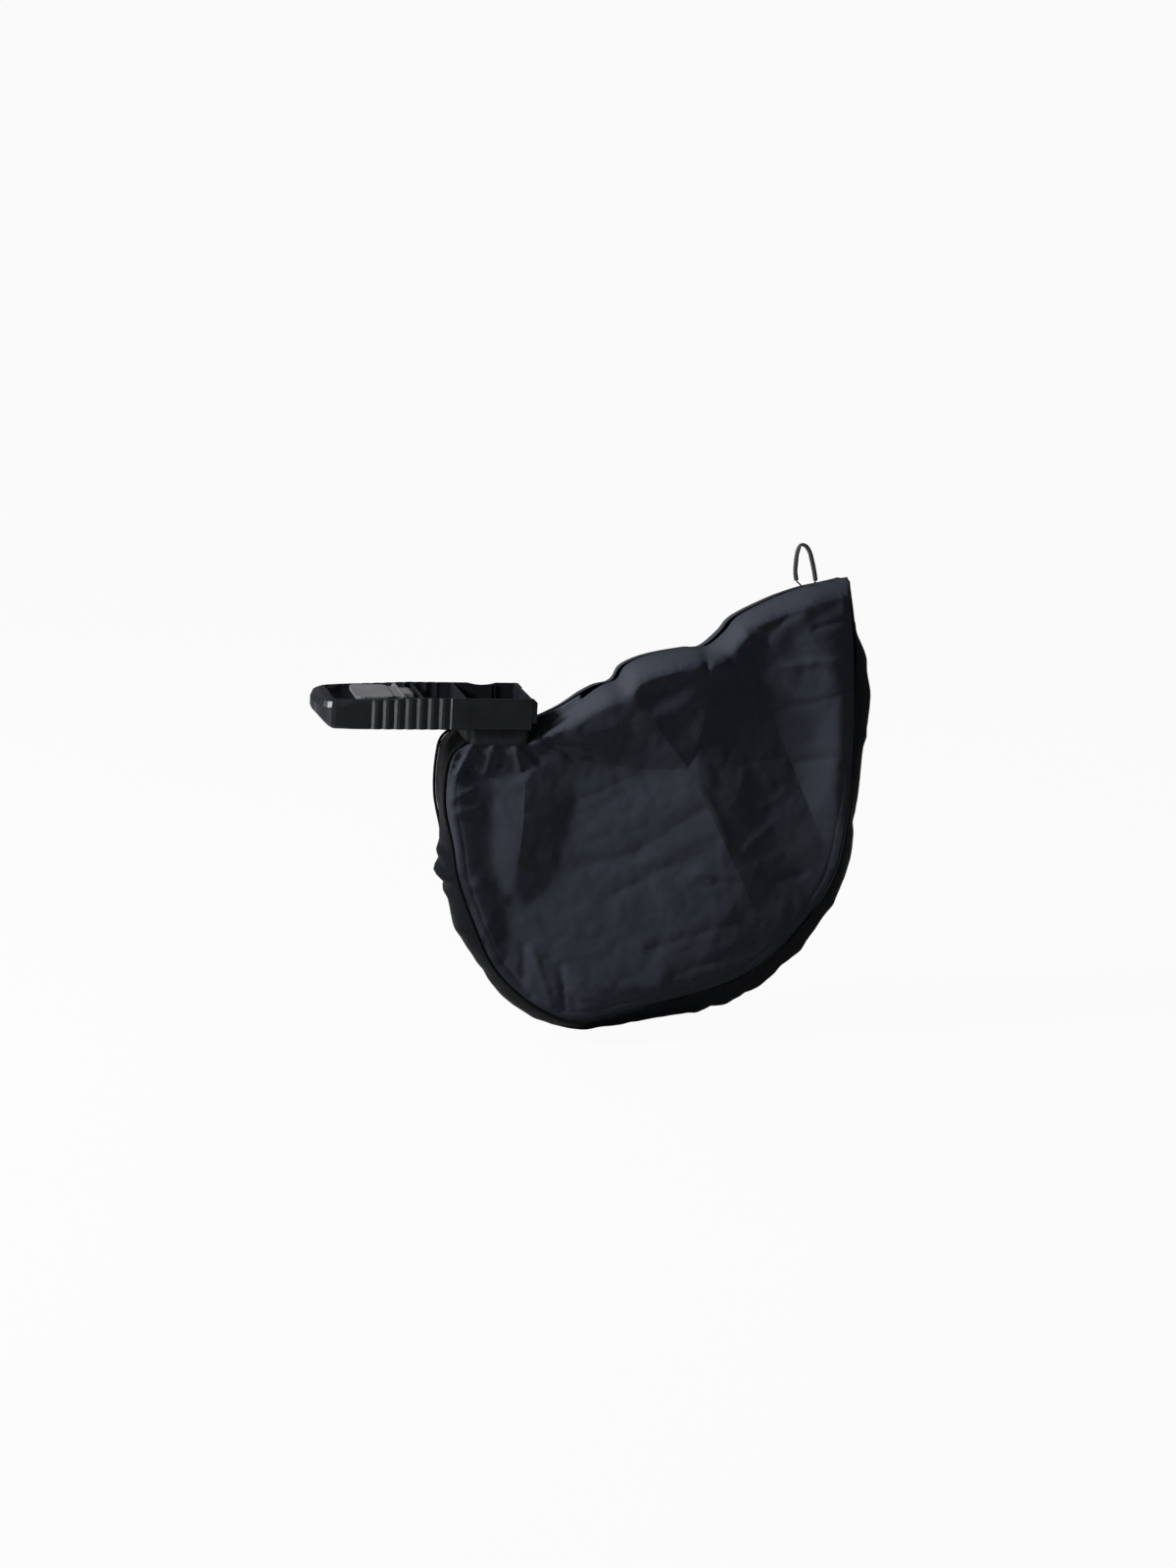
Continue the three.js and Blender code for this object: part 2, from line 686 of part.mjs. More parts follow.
// Gathered cloth that closes the throat between the neck and the start of the zip
function throatGore() {
  const columns = 13;
  const rows = 9;
  const face = [];
  for (let row = 0; row < rows; row++) {
    const share = row / (rows - 1);
    const target = (zipStartX - 4) * share - 0.2;
    const edge = topCurve.getPoint(edgeShare(target));
    for (let column = 0; column < columns; column++) {
      const across = -1 + 2 * column / (columns - 1);
      const sag = 15 * share * (1 - across ** 2);
      const pleat = 3 * Math.sin(4 * Math.PI * across) * Math.sin(Math.PI * share);
      const z = edge.z - gap - 2.2 * share - sag + pleat;
      face.push(new THREE.Vector3(edge.x, across * (edge.y - gap), z));
    }
  }
  const lining = face.map((point) => new THREE.Vector3(point.x, point.y, point.z - cloth));
  return skin(face, lining, gridTriangles(rows, columns).map(([a, b, c]) => [a, c, b]));
}

// Share of the top edge's curve at which it passes a given x
function edgeShare(x) {
  let low = 0;
  let high = 1;
  for (let turn = 0; turn < 40; turn++) {
    const middle = (low + high) / 2;
    if (topCurve.getPoint(middle).x < x) low = middle;
    else high = middle;
  }
  return low;
}

add("gusset_strip", gussetStrip(), coated);
add("front_piping", piping(-1), coated);
add("back_piping", piping(1), coated);
add("throat_gore", throatGore(), nonwoven);

// Zip, laid out in its own straight frame: x along the chain, z out of the bag
const zip = new THREE.Group();
zip.position.set(zipStartX, 0, zipStartZ);
zip.rotation.y = -Math.atan(zipSlope);
part.add(zip);
const zipDirection = new THREE.Vector2(1, zipSlope).normalize();
const tapeInner = chainSlit + 0.6;

function zipTape(side, surface) {
  const steps = 40;
  const pitch = (zipLength - 2) / steps;
  const face = [];
  for (let step = 0; step <= steps; step++) {
    const along = 2 + pitch * step;
    const nearby = [-1.5, -1, -0.5, 0, 0.5, 1, 1.5].map((share) => depthOver(
      surface, zipStartX + (along + share * pitch) * zipDirection.x, zipStartZ + (along + share * pitch) * zipDirection.y));
    const outer = Math.min(...nearby) - cloth - 0.9;
    face.push(new THREE.Vector3(along, side * tapeInner, tapeThickness / 2));
    face.push(new THREE.Vector3(along, side * outer, tapeThickness / 2));
  }
  const lining = face.map((point) => new THREE.Vector3(point.x, point.y, -tapeThickness / 2));
  const triangles = gridTriangles(steps + 1, 2);
  return skin(face, lining, side < 0 ? triangles : triangles.map(([a, b, c]) => [a, c, b]));
}

const chainFrom = lowerStopAt + stopLength + gap;
const chainTo = upperStopAt - gap;
const chainBottom = tapeThickness / 2 + gap;

function zipChain(side) {
  const root = chainSlit + 1.6;
  const outline = [new THREE.Vector2(chainTo, side * chainHalf), new THREE.Vector2(chainFrom, side * chainHalf)];
  outline.push(new THREE.Vector2(chainFrom, side * root));
  const count = Math.floor((chainTo - chainFrom) / toothPitch);
  for (let tooth = 0; tooth < count; tooth++) {
    const from = chainFrom + tooth * toothPitch + toothWidth / 2;
    outline.push(new THREE.Vector2(from, side * root), new THREE.Vector2(from, side * chainSlit));
    outline.push(new THREE.Vector2(from + toothWidth, side * chainSlit));
    outline.push(new THREE.Vector2(from + toothWidth, side * root));
  }
  outline.push(new THREE.Vector2(chainTo, side * root));
  return raised(outline, chainBottom, chainBottom + chainHeight);
}

function zipStop(at) {
  const outline = roundedRectangle(at, at + stopLength, -chainHalf, chainHalf, 1);
  return raised(outline, chainBottom, chainBottom + chainHeight + 0.6);
}

function zipSlider() {
  const half = sliderLength / 2;
  const topPlate = chainBottom + chainHeight + gap;
  const cheek = chainHalf + gap;
  const plateHalf = cheek + 1.3;
  const plate = roundedRectangle(sliderAt - half, sliderAt + half, -plateHalf, plateHalf, 3);
  const crownOutline = new THREE.Shape([
    new THREE.Vector2(-5, 0), new THREE.Vector2(5, 0), new THREE.Vector2(4, 2.4), new THREE.Vector2(-4, 2.4),
  ]);
  const crown = new THREE.ExtrudeGeometry(crownOutline, { depth: 3, bevelEnabled: false });
  crown.rotateX(Math.PI / 2).translate(sliderAt, 1.5, topPlate + 1.4);
  const lower = roundedRectangle(sliderAt - half, sliderAt + half, -plateHalf, plateHalf, 3);
  const solid = toSolid(raised(plate, chainBottom, topPlate + 1.6))
    .subtract(toSolid(box(sliderAt - half - 1, sliderAt + half + 1, -cheek, cheek, chainBottom - 1, topPlate)))
    .add(toSolid(crown))
    .add(toSolid(raised(lower, -tapeThickness / 2 - gap - 1.6, -tapeThickness / 2 - gap)))
    .add(toSolid(box(sliderAt, sliderAt + 5, -chainSlit / 2, chainSlit / 2, -tapeThickness / 2 - 1, topPlate + 0.5)));
  return toGeometry(solid);
}

add("zip_tape_front", zipTape(-1, frontSurface), tapeCloth, zip);
add("zip_tape_back", zipTape(1, backSurface), tapeCloth, zip);
add("zip_chain_front", zipChain(-1), darkSteel, zip);
add("zip_chain_back", zipChain(1), darkSteel, zip);
add("zip_lower_stop", zipStop(lowerStopAt), steel, zip);
add("zip_upper_stop", zipStop(upperStopAt), steel, zip);
add("zip_slider", zipSlider(), darkSteel, zip);

// Pull cord: a loop that leaves the slider's crown, in the plane of the zip, with a sleeve over its bend
const crownTop = chainBottom + chainHeight + gap + 1.4 + 2.4;

// A point of the zip's plane of symmetry, from its place along the zip and its height above the tape
const overZip = (along, height) => [
  zipStartX + along * zipDirection.x - height * zipDirection.y,
  zipStartZ + along * zipDirection.y + height * zipDirection.x,
];

const loopRoute = [[363, 136], [351, 149], [349, 160], [349, 172], [350, 185], [354, 195], [360, 194], [366, 187],
  [370, 176], [374, 162], [377, 149], [370, 137]];
const sleeveRoute = loopRoute.slice(1, -1);
const toRoute = (points) => new THREE.CatmullRomCurve3(
  points.map(([x, z]) => new THREE.Vector3(x, 0, z)), false, "centripetal");
const cordCurve = toRoute([
  overZip(sliderAt - 2, crownTop + gap), overZip(sliderAt - 2.2, crownTop + 6), ...loopRoute,
  overZip(sliderAt + 3, crownTop + 8), overZip(sliderAt + 2.6, crownTop + gap),
]);
add("pull_cord", tube(cordCurve, cordRadius, 8, 36), coated);
add("pull_sleeve", tube(toRoute(sleeveRoute), sleeveRadius, 8, 18, sleeveBore), tapeCloth);

export default part;
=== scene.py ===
import math
import random

import bpy
import numpy as np
from mathutils import Matrix, Vector, geometry, noise


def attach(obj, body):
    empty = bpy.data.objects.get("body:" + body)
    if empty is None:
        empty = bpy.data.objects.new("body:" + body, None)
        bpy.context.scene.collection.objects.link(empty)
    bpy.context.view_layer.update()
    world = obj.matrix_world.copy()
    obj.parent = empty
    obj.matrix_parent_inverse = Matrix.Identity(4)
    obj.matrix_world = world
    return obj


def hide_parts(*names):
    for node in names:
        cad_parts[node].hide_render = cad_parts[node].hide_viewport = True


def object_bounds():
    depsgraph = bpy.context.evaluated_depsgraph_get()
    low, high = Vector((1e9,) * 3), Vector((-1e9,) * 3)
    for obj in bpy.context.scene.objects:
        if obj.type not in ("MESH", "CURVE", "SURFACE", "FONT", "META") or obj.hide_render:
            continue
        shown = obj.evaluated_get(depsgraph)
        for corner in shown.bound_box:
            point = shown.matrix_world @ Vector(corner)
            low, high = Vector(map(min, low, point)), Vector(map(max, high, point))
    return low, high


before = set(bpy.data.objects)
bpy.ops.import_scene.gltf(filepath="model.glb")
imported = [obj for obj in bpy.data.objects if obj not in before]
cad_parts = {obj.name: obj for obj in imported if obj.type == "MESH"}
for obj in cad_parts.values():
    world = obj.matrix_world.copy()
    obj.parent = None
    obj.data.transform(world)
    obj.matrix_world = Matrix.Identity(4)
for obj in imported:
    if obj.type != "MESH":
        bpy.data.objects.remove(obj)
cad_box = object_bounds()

# Camera
# Long lens, 3.75 m away, at the photograph's angle: 13 degrees round to the grip's end and 12.5
# degrees up, rolled by 3 degrees. The duct's top corner lies at RIM_PIXEL of the 1200 x 1600 image.
MM = 0.001
RIM_OFFSET = 2.0
CAMERA_AZIMUTH = math.radians(-13)
CAMERA_ELEVATION = math.radians(12.5)
CAMERA_ROLL = math.radians(3)
CAMERA_DISTANCE = 3.75
IMAGE_WIDTH = 1200
IMAGE_HEIGHT = 1600
FOCAL_PIXELS = 3000
RIM_PIXEL = (535, 705)
SENSOR_HEIGHT = 36


def place_camera():
    back = Vector((
        math.sin(CAMERA_AZIMUTH) * math.cos(CAMERA_ELEVATION),
        -math.cos(CAMERA_AZIMUTH) * math.cos(CAMERA_ELEVATION),
        math.sin(CAMERA_ELEVATION),
    ))
    level = Vector((math.cos(CAMERA_AZIMUTH), math.sin(CAMERA_AZIMUTH), 0))
    upright = back.cross(level)
    right = level * math.cos(CAMERA_ROLL) + upright * math.sin(CAMERA_ROLL)
    up = upright * math.cos(CAMERA_ROLL) - level * math.sin(CAMERA_ROLL)
    across = (RIM_PIXEL[0] - IMAGE_WIDTH / 2) / FOCAL_PIXELS
    above = (IMAGE_HEIGHT / 2 - RIM_PIXEL[1]) / FOCAL_PIXELS
    rim = Vector((RIM_OFFSET * MM, 0, 0))
    place = rim - CAMERA_DISTANCE * (right * across + up * above - back)
    lens = bpy.data.cameras.new("camera")
    lens.sensor_fit = "VERTICAL"
    lens.sensor_height = SENSOR_HEIGHT
    lens.lens = SENSOR_HEIGHT * FOCAL_PIXELS / IMAGE_HEIGHT
    camera = bpy.data.objects.new("camera", lens)
    camera.matrix_world = Matrix((
        (right.x, up.x, back.x, place.x),
        (right.y, up.y, back.y, place.y),
        (right.z, up.z, back.z, place.z),
        (0, 0, 0, 1),
    ))
    bpy.context.scene.collection.objects.link(camera)
    bpy.context.scene.camera = camera


place_camera()

# Pull cord
# A 2 mm braided polyester cord, looped through the slider's crown and held up by its sleeve.
# Its route is the one in the frame: out of the crown, round the sleeve's two bends and back.
ZIP_START = (79, -22)
ZIP_SLOPE = 0.461
SLIDER_ALONG = 316
CROWN_TOP = 7.1
CROWN_GAP = 0.3
CORD_DIAMETER = 2.0
CORD_SPACING = 2.5
BRAID_ANGLE = 38
WAVE_SCALE = 0.314
CURVE_CUTS = 24
# Out of the crown, up through the sleeve, over its two bends and down again, as (x, z).
LOOP_ROUTE = [
    (363, 136), (351, 149), (349, 160), (349, 172), (350, 185), (354, 195), (360, 194),
    (366, 187), (370, 176), (374, 162), (377, 149), (370, 137),
]


def over_zip(along, height):
    steep = math.atan(ZIP_SLOPE)
    x = ZIP_START[0] + along * math.cos(steep) - height * math.sin(steep)
    z = ZIP_START[1] + along * math.sin(steep) + height * math.cos(steep)
    return x, z


def point(x, y, z):
    """A place given in millimetres from the duct's outer top edge, in the frame's metres."""
    return Vector(((x + RIM_OFFSET) * MM, y * MM, z * MM))


def spline(route, spacing):
    """Centripetal curve through the route's points, cut into equal steps of about the spacing."""
    knots = np.array(route, dtype=float)
    knots = np.vstack([2 * knots[0] - knots[1], knots, 2 * knots[-1] - knots[-2]])
    steps = np.maximum(np.linalg.norm(np.diff(knots, axis=0), axis=1) ** 0.5, 1e-6)
    share = np.linspace(0, 1, CURVE_CUTS, endpoint=False)[:, None]
    traced = []
    for index in range(1, len(knots) - 2):
        before, here, there, after = knots[index - 1:index + 3]
        first, middle, last = steps[index - 1:index + 2]
        leave = (here - before) / first - (there - before) / (first + middle) + (there - here) / middle
        arrive = (there - here) / middle - (after - here) / (middle + last) + (after - there) / last
        leave, arrive = leave * middle, arrive * middle
        traced.append(
            here + leave * share + (3 * (there - here) - 2 * leave - arrive) * share ** 2
            + (2 * (here - there) + leave + arrive) * share ** 3
        )
    traced = np.vstack(traced + [knots[-2:-1]])
    travelled = np.concatenate([[0], np.cumsum(np.linalg.norm(np.diff(traced, axis=0), axis=1))])
    stops = np.linspace(0, travelled[-1], max(2, round(travelled[-1] / spacing)) + 1)
    return np.column_stack([np.interp(stops, travelled, column) for column in traced.T])


def linear(code):
    """An sRGB hex colour as linear red, green, blue and alpha."""
    parts = [int(code[index:index + 2], 16) / 255 for index in (1, 3, 5)]
    return [part / 12.92 if part <= 0.04045 else ((part + 0.055) / 1.055) ** 2.4 for part in parts] + [1.0]


def add_node(tree, kind, inputs=None, stops=(), **settings):
    """Adds a shader node with its settings. An input is a value or another node's output, and
    stops are the places and hex colours of a colour ramp."""
    made = tree.nodes.new("ShaderNode" + kind)
    for name, value in settings.items():
        setattr(made, name, value)
    for index, (place, code) in enumerate(stops):
        if index >= len(made.color_ramp.elements):
            made.color_ramp.elements.new(place)
        made.color_ramp.elements[index].position = place
        made.color_ramp.elements[index].color = linear(code)
    for name, value in (inputs or {}).items():
        if isinstance(value, bpy.types.NodeSocket):
            tree.links.new(value, made.inputs[name])
        else:
            made.inputs[name].default_value = value
    return made


def new_material(name):
    material = bpy.data.materials.new(name)
    material.use_nodes = True
    material.node_tree.nodes.clear()
    return material, material.node_tree


def features(size):
    """Scale of a texture whose marks are this many millimetres across."""
    return 1 / (size * MM)


def bands(pitch):
    """Scale of a wave texture whose bands repeat at this pitch in millimetres."""
    return WAVE_SCALE / (pitch * MM)


def braided_polyester(name, dark, light, pitch):
    """Black polyester braid: crossing strands, each painted lighter along its back as a painted sheen."""
    material, tree = new_material(name)
    place = add_node(tree, "TexCoord").outputs["Object"]
    turned = []
    for angle in (BRAID_ANGLE, -BRAID_ANGLE):
        way = add_node(tree, "Mapping", {"Vector": place, "Rotation": (0, math.radians(angle), 0)})
        wave = add_node(tree, "TexWave", {
            "Vector": way.outputs["Vector"], "Scale": bands(pitch), "Distortion": 0.6,
            "Detail": 1.0}, bands_direction="X")
        turned.append(wave.outputs["Fac"])
    crossed = add_node(tree, "Math", {0: turned[0], 1: turned[1]}, operation="MAXIMUM").outputs[0]
    bump = add_node(tree, "Bump", {"Height": crossed, "Strength": 0.6, "Distance": 0.25 * MM})
    # Painted sheen: the colour is lighter along each strand's back and darker between strands, where the
    # bump is lower.
    colour = add_node(tree, "ValToRGB", {"Fac": crossed}, [(0.35, dark), (0.95, light)])
    shader = add_node(tree, "BsdfPrincipled", {
        "Base Color": colour.outputs["Color"], "Roughness": 0.62, "Specular IOR Level": 0.35,
        "Normal": bump.outputs["Normal"]})
    add_node(tree, "OutputMaterial", {"Surface": shader.outputs["BSDF"]})
    return material


# The lighter of the two colours is the painted sheen along the strands' backs.
cord_braid = braided_polyester("braided_polyester_cord", "#0e0e10", "#2a2a2f", 0.9)
cord_route = [
    over_zip(SLIDER_ALONG - 2, CROWN_TOP + CROWN_GAP), over_zip(SLIDER_ALONG - 2.2, CROWN_TOP + 6),
    *LOOP_ROUTE,
    over_zip(SLIDER_ALONG + 3, CROWN_TOP + 8), over_zip(SLIDER_ALONG + 2.6, CROWN_TOP + CROWN_GAP),
]
cord_points = spline(cord_route, CORD_SPACING)


def pull_cord():
    curve = bpy.data.curves.new("pull_cord_braid", "CURVE")
    curve.dimensions = "3D"
    curve.bevel_depth = CORD_DIAMETER / 2 * MM
    curve.bevel_resolution = 3
    curve.use_fill_caps = True
    line = curve.splines.new("POLY")
    line.points.add(len(cord_points) - 1)
    for knot, (x, z) in zip(line.points, cord_points):
        knot.co = (*point(x, 0, z), 1)
    piece = bpy.data.objects.new("pull_cord_braid", curve)
    bpy.context.scene.collection.objects.link(piece)
    piece.data.materials.append(cord_braid)
    return piece


cord_piece = pull_cord()
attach(cord_piece, "slider")
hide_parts("pull_cord")

# Sleeve of the pull
# A braided polyester sleeve pushed over the loop, cut square at both ends and kinked where the
# loop bends, so that it stands up as a finger grip.
SLEEVE_RADIUS = 3.2
SLEEVE_SIDES = 18
SLEEVE_STRANDS = 6
SLEEVE_RELIEF = 0.22
SLEEVE_STEP = 1.6
STRAND_TWIST = 1.1
KINK_FLATTENS = 1.1
KINK_MOST = 0.35


def mesh_piece(name, vertices, faces, material):
    """A smooth object made of the vertices, in the frame's metres, and the faces."""
    mesh = bpy.data.meshes.new(name)
    mesh.from_pydata([tuple(vertex) for vertex in vertices], [], [tuple(face) for face in faces])
    mesh.validate()
    mesh.update()
    mesh.shade_smooth()
    piece = bpy.data.objects.new(name, mesh)
    bpy.context.scene.collection.objects.link(piece)
    mesh.materials.append(material)
    return piece


def tube_faces(rings, sides, closed_ends=True):
    """Quads of a tube with the given rings of vertices, and its two end faces."""
    faces = []
    for ring in range(rings - 1):
        for side in range(sides):
            after = (side + 1) % sides
            faces.append((ring * sides + side, ring * sides + after,
                          (ring + 1) * sides + after, (ring + 1) * sides + side))
    if closed_ends:
        faces.append(tuple(range(sides))[::-1])
        faces.append(tuple((rings - 1) * sides + side for side in range(sides)))
    return faces


# The lighter of the two colours is the painted sheen along the strands' backs.
sleeve_braid = braided_polyester("braided_polyester_sleeve", "#1a1a1e", "#46464e", 1.6)


def pull_sleeve():
    route = spline(LOOP_ROUTE[1:-1], SLEEVE_STEP)
    ways = np.gradient(route, axis=0)
    ways /= np.linalg.norm(ways, axis=1)[:, None]
    bend = np.linalg.norm(np.gradient(ways, axis=0), axis=1)
    vertices = []
    for index, ((x, z), (along_x, along_z)) in enumerate(zip(route, ways)):
        flat = 1 - min(KINK_MOST, KINK_FLATTENS * bend[index])
        turn = index * STRAND_TWIST
        for side in range(SLEEVE_SIDES):
            angle = side / SLEEVE_SIDES * 2 * math.pi
            braid = math.cos(SLEEVE_STRANDS * angle + turn) * math.cos(SLEEVE_STRANDS * angle - turn)
            radius = SLEEVE_RADIUS + SLEEVE_RELIEF * (braid - 1)
            outward = radius * math.cos(angle) * flat
            vertices.append(point(x + along_z * outward, radius * math.sin(angle), z - along_x * outward))
    return mesh_piece("pull_sleeve_braid", vertices, tube_faces(len(route), SLEEVE_SIDES), sleeve_braid)


sleeve_piece = pull_sleeve()
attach(sleeve_piece, "slider")
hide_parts("pull_sleeve")

# Frame moulding
# One polypropylene moulding with grip, fluted walls, duct and spigot, black right through, with
# the fine spark-eroded texture of its mould and a slight shine along handled edges.
EDGE_RADIUS = 0.35
EDGE_STEPS = 2
EDGE_ANGLE = math.radians(50)
HANDLED_PATCH = 41.6667
MOULD_GRAIN = 0.454545


def moulded_polypropylene(name, dark, light, roughness):
    """Satin plastic: even colour, soft highlights broken by a fine moulded grain."""
    material, tree = new_material(name)
    place = add_node(tree, "TexCoord").outputs["Object"]
    cloudy = add_node(tree, "TexNoise", {
        "Vector": place, "Scale": features(HANDLED_PATCH), "Detail": 3.0}).outputs["Fac"]
    grain = add_node(tree, "TexNoise", {
        "Vector": place, "Scale": features(MOULD_GRAIN), "Detail": 2.0}).outputs["Fac"]
    rough = add_node(tree, "MapRange", {
        "Value": cloudy, "From Min": 0.3, "From Max": 0.7,
        "To Min": roughness - 0.03, "To Max": roughness + 0.03})
    bump = add_node(tree, "Bump", {"Height": grain, "Strength": 0.25, "Distance": 0.08 * MM})
    colour = add_node(tree, "ValToRGB", {"Fac": cloudy}, [(0.3, dark), (0.7, light)])
    shader = add_node(tree, "BsdfPrincipled", {
        "Base Color": colour.outputs["Color"], "Roughness": rough.outputs["Result"],
        "IOR": 1.49, "Specular IOR Level": 0.4, "Normal": bump.outputs["Normal"]})
    add_node(tree, "OutputMaterial", {"Surface": shader.outputs["BSDF"]})
    return material


def dress(name, material, edge=0.0):
    """Finishes a piece of the frame, and rounds its edges by a radius in millimetres."""
    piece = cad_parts[name]
    piece.data.materials.clear()
    piece.data.materials.append(material)
    if edge:
        bevel = piece.modifiers.new("rounded edges", "BEVEL")
        bevel.width = edge * MM
        bevel.segments = EDGE_STEPS
        bevel.limit_method = "ANGLE"
        bevel.angle_limit = EDGE_ANGLE
        bevel.use_clamp_overlap = True


black_polypropylene = moulded_polypropylene("moulded_black_polypropylene", "#17181d", "#1d2025", 0.3)
dress("frame_moulding", black_polypropylene, EDGE_RADIUS)

# Latch lever
# A moulded rocker with a thumb pad, a barrel that turns on the pin and a nose that catches the machine's
# lug.
# Its plastic is coloured a lighter grey than the frame's: painted light that stands in for the brightly
# lit pad.
# The lighter grey of the whole lever is painted light, standing in for the pad lit by the lamps.
lever_plastic_painted_light = moulded_polypropylene("grey_polypropylene_painted_light", "#616165", "#6f6f73", 0.32)
dress("latch_lever", lever_plastic_painted_light, EDGE_RADIUS)

# Pin and spring of the lever
# Drawn steel: the pin is zinc plated and dull, pushed into blind holes of the frame's walls. The
# torsion spring is wound from blackened wire round the pin and lifts the pad.
PLATING_CLOUD = 3.84615


def plated_steel(name, dark, light, roughness):
    """Plated steel: a grey metal whose plating clouds its shine."""
    material, tree = new_material(name)
    place = add_node(tree, "TexCoord").outputs["Object"]
    cloudy = add_node(tree, "TexNoise", {
        "Vector": place, "Scale": features(PLATING_CLOUD), "Detail": 4.0}).outputs["Fac"]
    rough = add_node(tree, "MapRange", {
        "Value": cloudy, "To Min": roughness - 0.1, "To Max": roughness + 0.12})
    colour = add_node(tree, "ValToRGB", {"Fac": cloudy}, [(0.3, dark), (0.75, light)])
    shader = add_node(tree, "BsdfPrincipled", {
        "Base Color": colour.outputs["Color"], "Metallic": 1.0, "Roughness": rough.outputs["Result"]})
    add_node(tree, "OutputMaterial", {"Surface": shader.outputs["BSDF"]})
    return material


zinc_plate = plated_steel("zinc_plated_steel", "#7c7d80", "#a3a4a8", 0.38)
black_steel = plated_steel("blackened_steel", "#1d1d1f", "#3a3a3d", 0.42)
dress("lever_pin", zinc_plate)
dress("lever_spring", black_steel)

# Side panels
# Two panels of black spunbonded nonwoven, sewn to a curved seam and hemmed along the straight
# top edge. Folding for the packet pressed a star of creases into them, which the light picks out.
# The seam and the top edge, as (x, z, half of the bag's width there).
SEAM_ROUTE = [
    (-79.5, -58.3, 45.5), (-95, -71, 43), (-101, -92, 38), (-102, -142, 36), (-91, -191, 40),
    (-84, -232, 45), (-66, -282, 46), (-33, -350, 46), (2, -387, 46), (39, -413, 46),
    (75, -425, 46), (176, -406, 46), (286, -374, 46), (337, -341, 46), (390, -277, 46),
    (414, -232, 46), (424, -180, 46), (429, -75, 46), (424, 25, 45), (421, 85, 34), (415, 151, 11),
]
TOP_ROUTE = [
    (-0.5, -58.3, 45.5), (16, -44, 38), (50, -23, 20), (79, -2, 12), (96, 7, 11), (116, 13, 11),
    (126, 30, 11), (149, 43, 11), (212, 57, 11), (232, 58, 11), (256, 78, 11), (269, 95, 11),
    (318, 122, 11), (360, 138, 11), (390, 145, 11), (415, 151, 11),
]
FULL_HALF = 46
HEM_ROLL = 3.5
HEM_STAND = 5.5
HEM_BEGINS = 30
SWELL = 3
SWELL_ROLL = 14
PANEL_OUT = 2
PANEL_CLOTH = 0.8
PANEL_GRID = 4.0
BORDER_STEP = 4.0
NECK_STEPS = 16
STITCH_ROW = 12.0
STITCH_SINK = 0.8
STITCH_WIDTH = 1.2
INNER_ROWS = (2.0, 4.5, STITCH_ROW - 1.4, STITCH_ROW, STITCH_ROW + 1.4)
CRUMPLE = 1.8
CRUMPLE_SIZE = 34
CRUMPLE_FADE = 12
FOLD_FADE = 4
# Where in the endless noise each panel's crumple is taken from.
FRONT_LAYER = 13513.5
BACK_LAYER = 11830.0
# Folds and hollows stand this far out of the panel's even swell, as (x, z, millimetres outward).
FRONT_FOLDS = [
    [(207, -88, 3), (226, -122, 8), (244, -157, 11), (266, -200, 12), (289, -242, 11), (310, -285, 7),
     (326, -316, 2)],
    [(284, 62, -4), (294, 40, -7), (304, 17, -9), (314, -5, -11), (324, -28, -13), (345, -73, -15),
     (366, -118, -14), (382, -153, -10), (397, -186, -4)],
    [(222, 50, 11), (225, 28, 9), (227, 8, 6), (225, -14, 5), (223, -33, 4), (216, -58, 4), (207, -88, 3)],
    [(284, 62, -4), (270, 38, -3), (258, 16, -2), (245, -10, 0), (235, -32, 1), (222, -60, 2),
     (207, -88, 3)],
    [(20, -49, 4), (60, -44, 8), (105, -33, 11), (130, -26, 12), (152, -21, 12)],
    [(25, -62, -6), (75, -82, -9), (120, -88, -8), (165, -92, -4), (207, -88, 3)],
    [(152, -21, 12), (182, -58, 7), (207, -88, 3)],
    [(-3, -108, -3), (-3, -135, -1.5), (-3, -160, -1.5), (-5, -190, -2.5), (-8, -215, -3)],
]
FRONT_HOLLOWS = [
    (182, 21, 8), (160, 8, 6), (200, 0, 9), (212, 22, 10), (196, -40, 4), (118, 7, 17), (130, 24, 18),
    (150, 36, 19), (178, 44, 22), (205, 50, 20), (216, 51, 15), (100, -8, 16), (75, -15, 14),
    (45, -36, 10), (-94, -95, -2), (-96, -135, 0), (-88, -175, 0), (-78, -215, -1), (-62, -262, -1),
    (-80, -95, -7), (-82, -135, -3), (-76, -175, -4), (-60, -90, -7), (-62, -130, -7), (-42, -113, -9),
    (-45, -140, -10), (-46, -170, -10), (-43, -200, -10), (-40, -221, -10), (-22, -262, -11),
    (-25, -310, -9), (-8, -245, -5), (67, -98, -9), (66, -115, -11), (66, -132, -11), (62, -158, -12),
    (59, -183, -12), (52, -205, -12), (42, -235, -12), (20, -262, -11), (0, -272, -10), (-88, -76, -3),
    (-68, -77, -4), (-46, -78, -5), (-24, -78, -5), (-2, -76, -4), (-45, -300, 0), (-30, -335, -1),
    (0, -330, -6), (5, -368, -2), (40, -330, -3), (60, -385, 2), (-15, -98, -9), (10, -80, -7),
    (130, -160, -4), (180, -150, 2), (150, -230, -2), (210, -240, 5), (120, -300, -2), (190, -320, 4),
    (250, -310, 8), (110, -380, 4), (180, -375, 6), (260, -350, 6), (378, -60, -9), (408, -60, 4),
    (402, 15, 6), (405, -120, 2), (360, 20, -2), (330, 60, -1), (385, 60, 7), (300, 92, 3),
    (345, 105, 6), (340, 70, -1), (395, 100, 6), (275, 80, 5), (390, 125, 2), (240, 68, 5),
    (395, -225, -1), (350, -285, 5), (345, -200, -1), (320, -150, -6), (300, -80, -9), (265, -40, -6),
    (375, -245, -1), (300, -220, 9), (330, -240, 4),
]
# How far each panel's top edge stands out along it, as (x, millimetres outward).
FRONT_HEM = [
    (-1, 0), (20, 6), (50, 17), (80, 20), (116, 21), (126, 20), (232, 18), (256, 12), (300, 11),
    (360, 11), (400, 4), (415, 0),
]
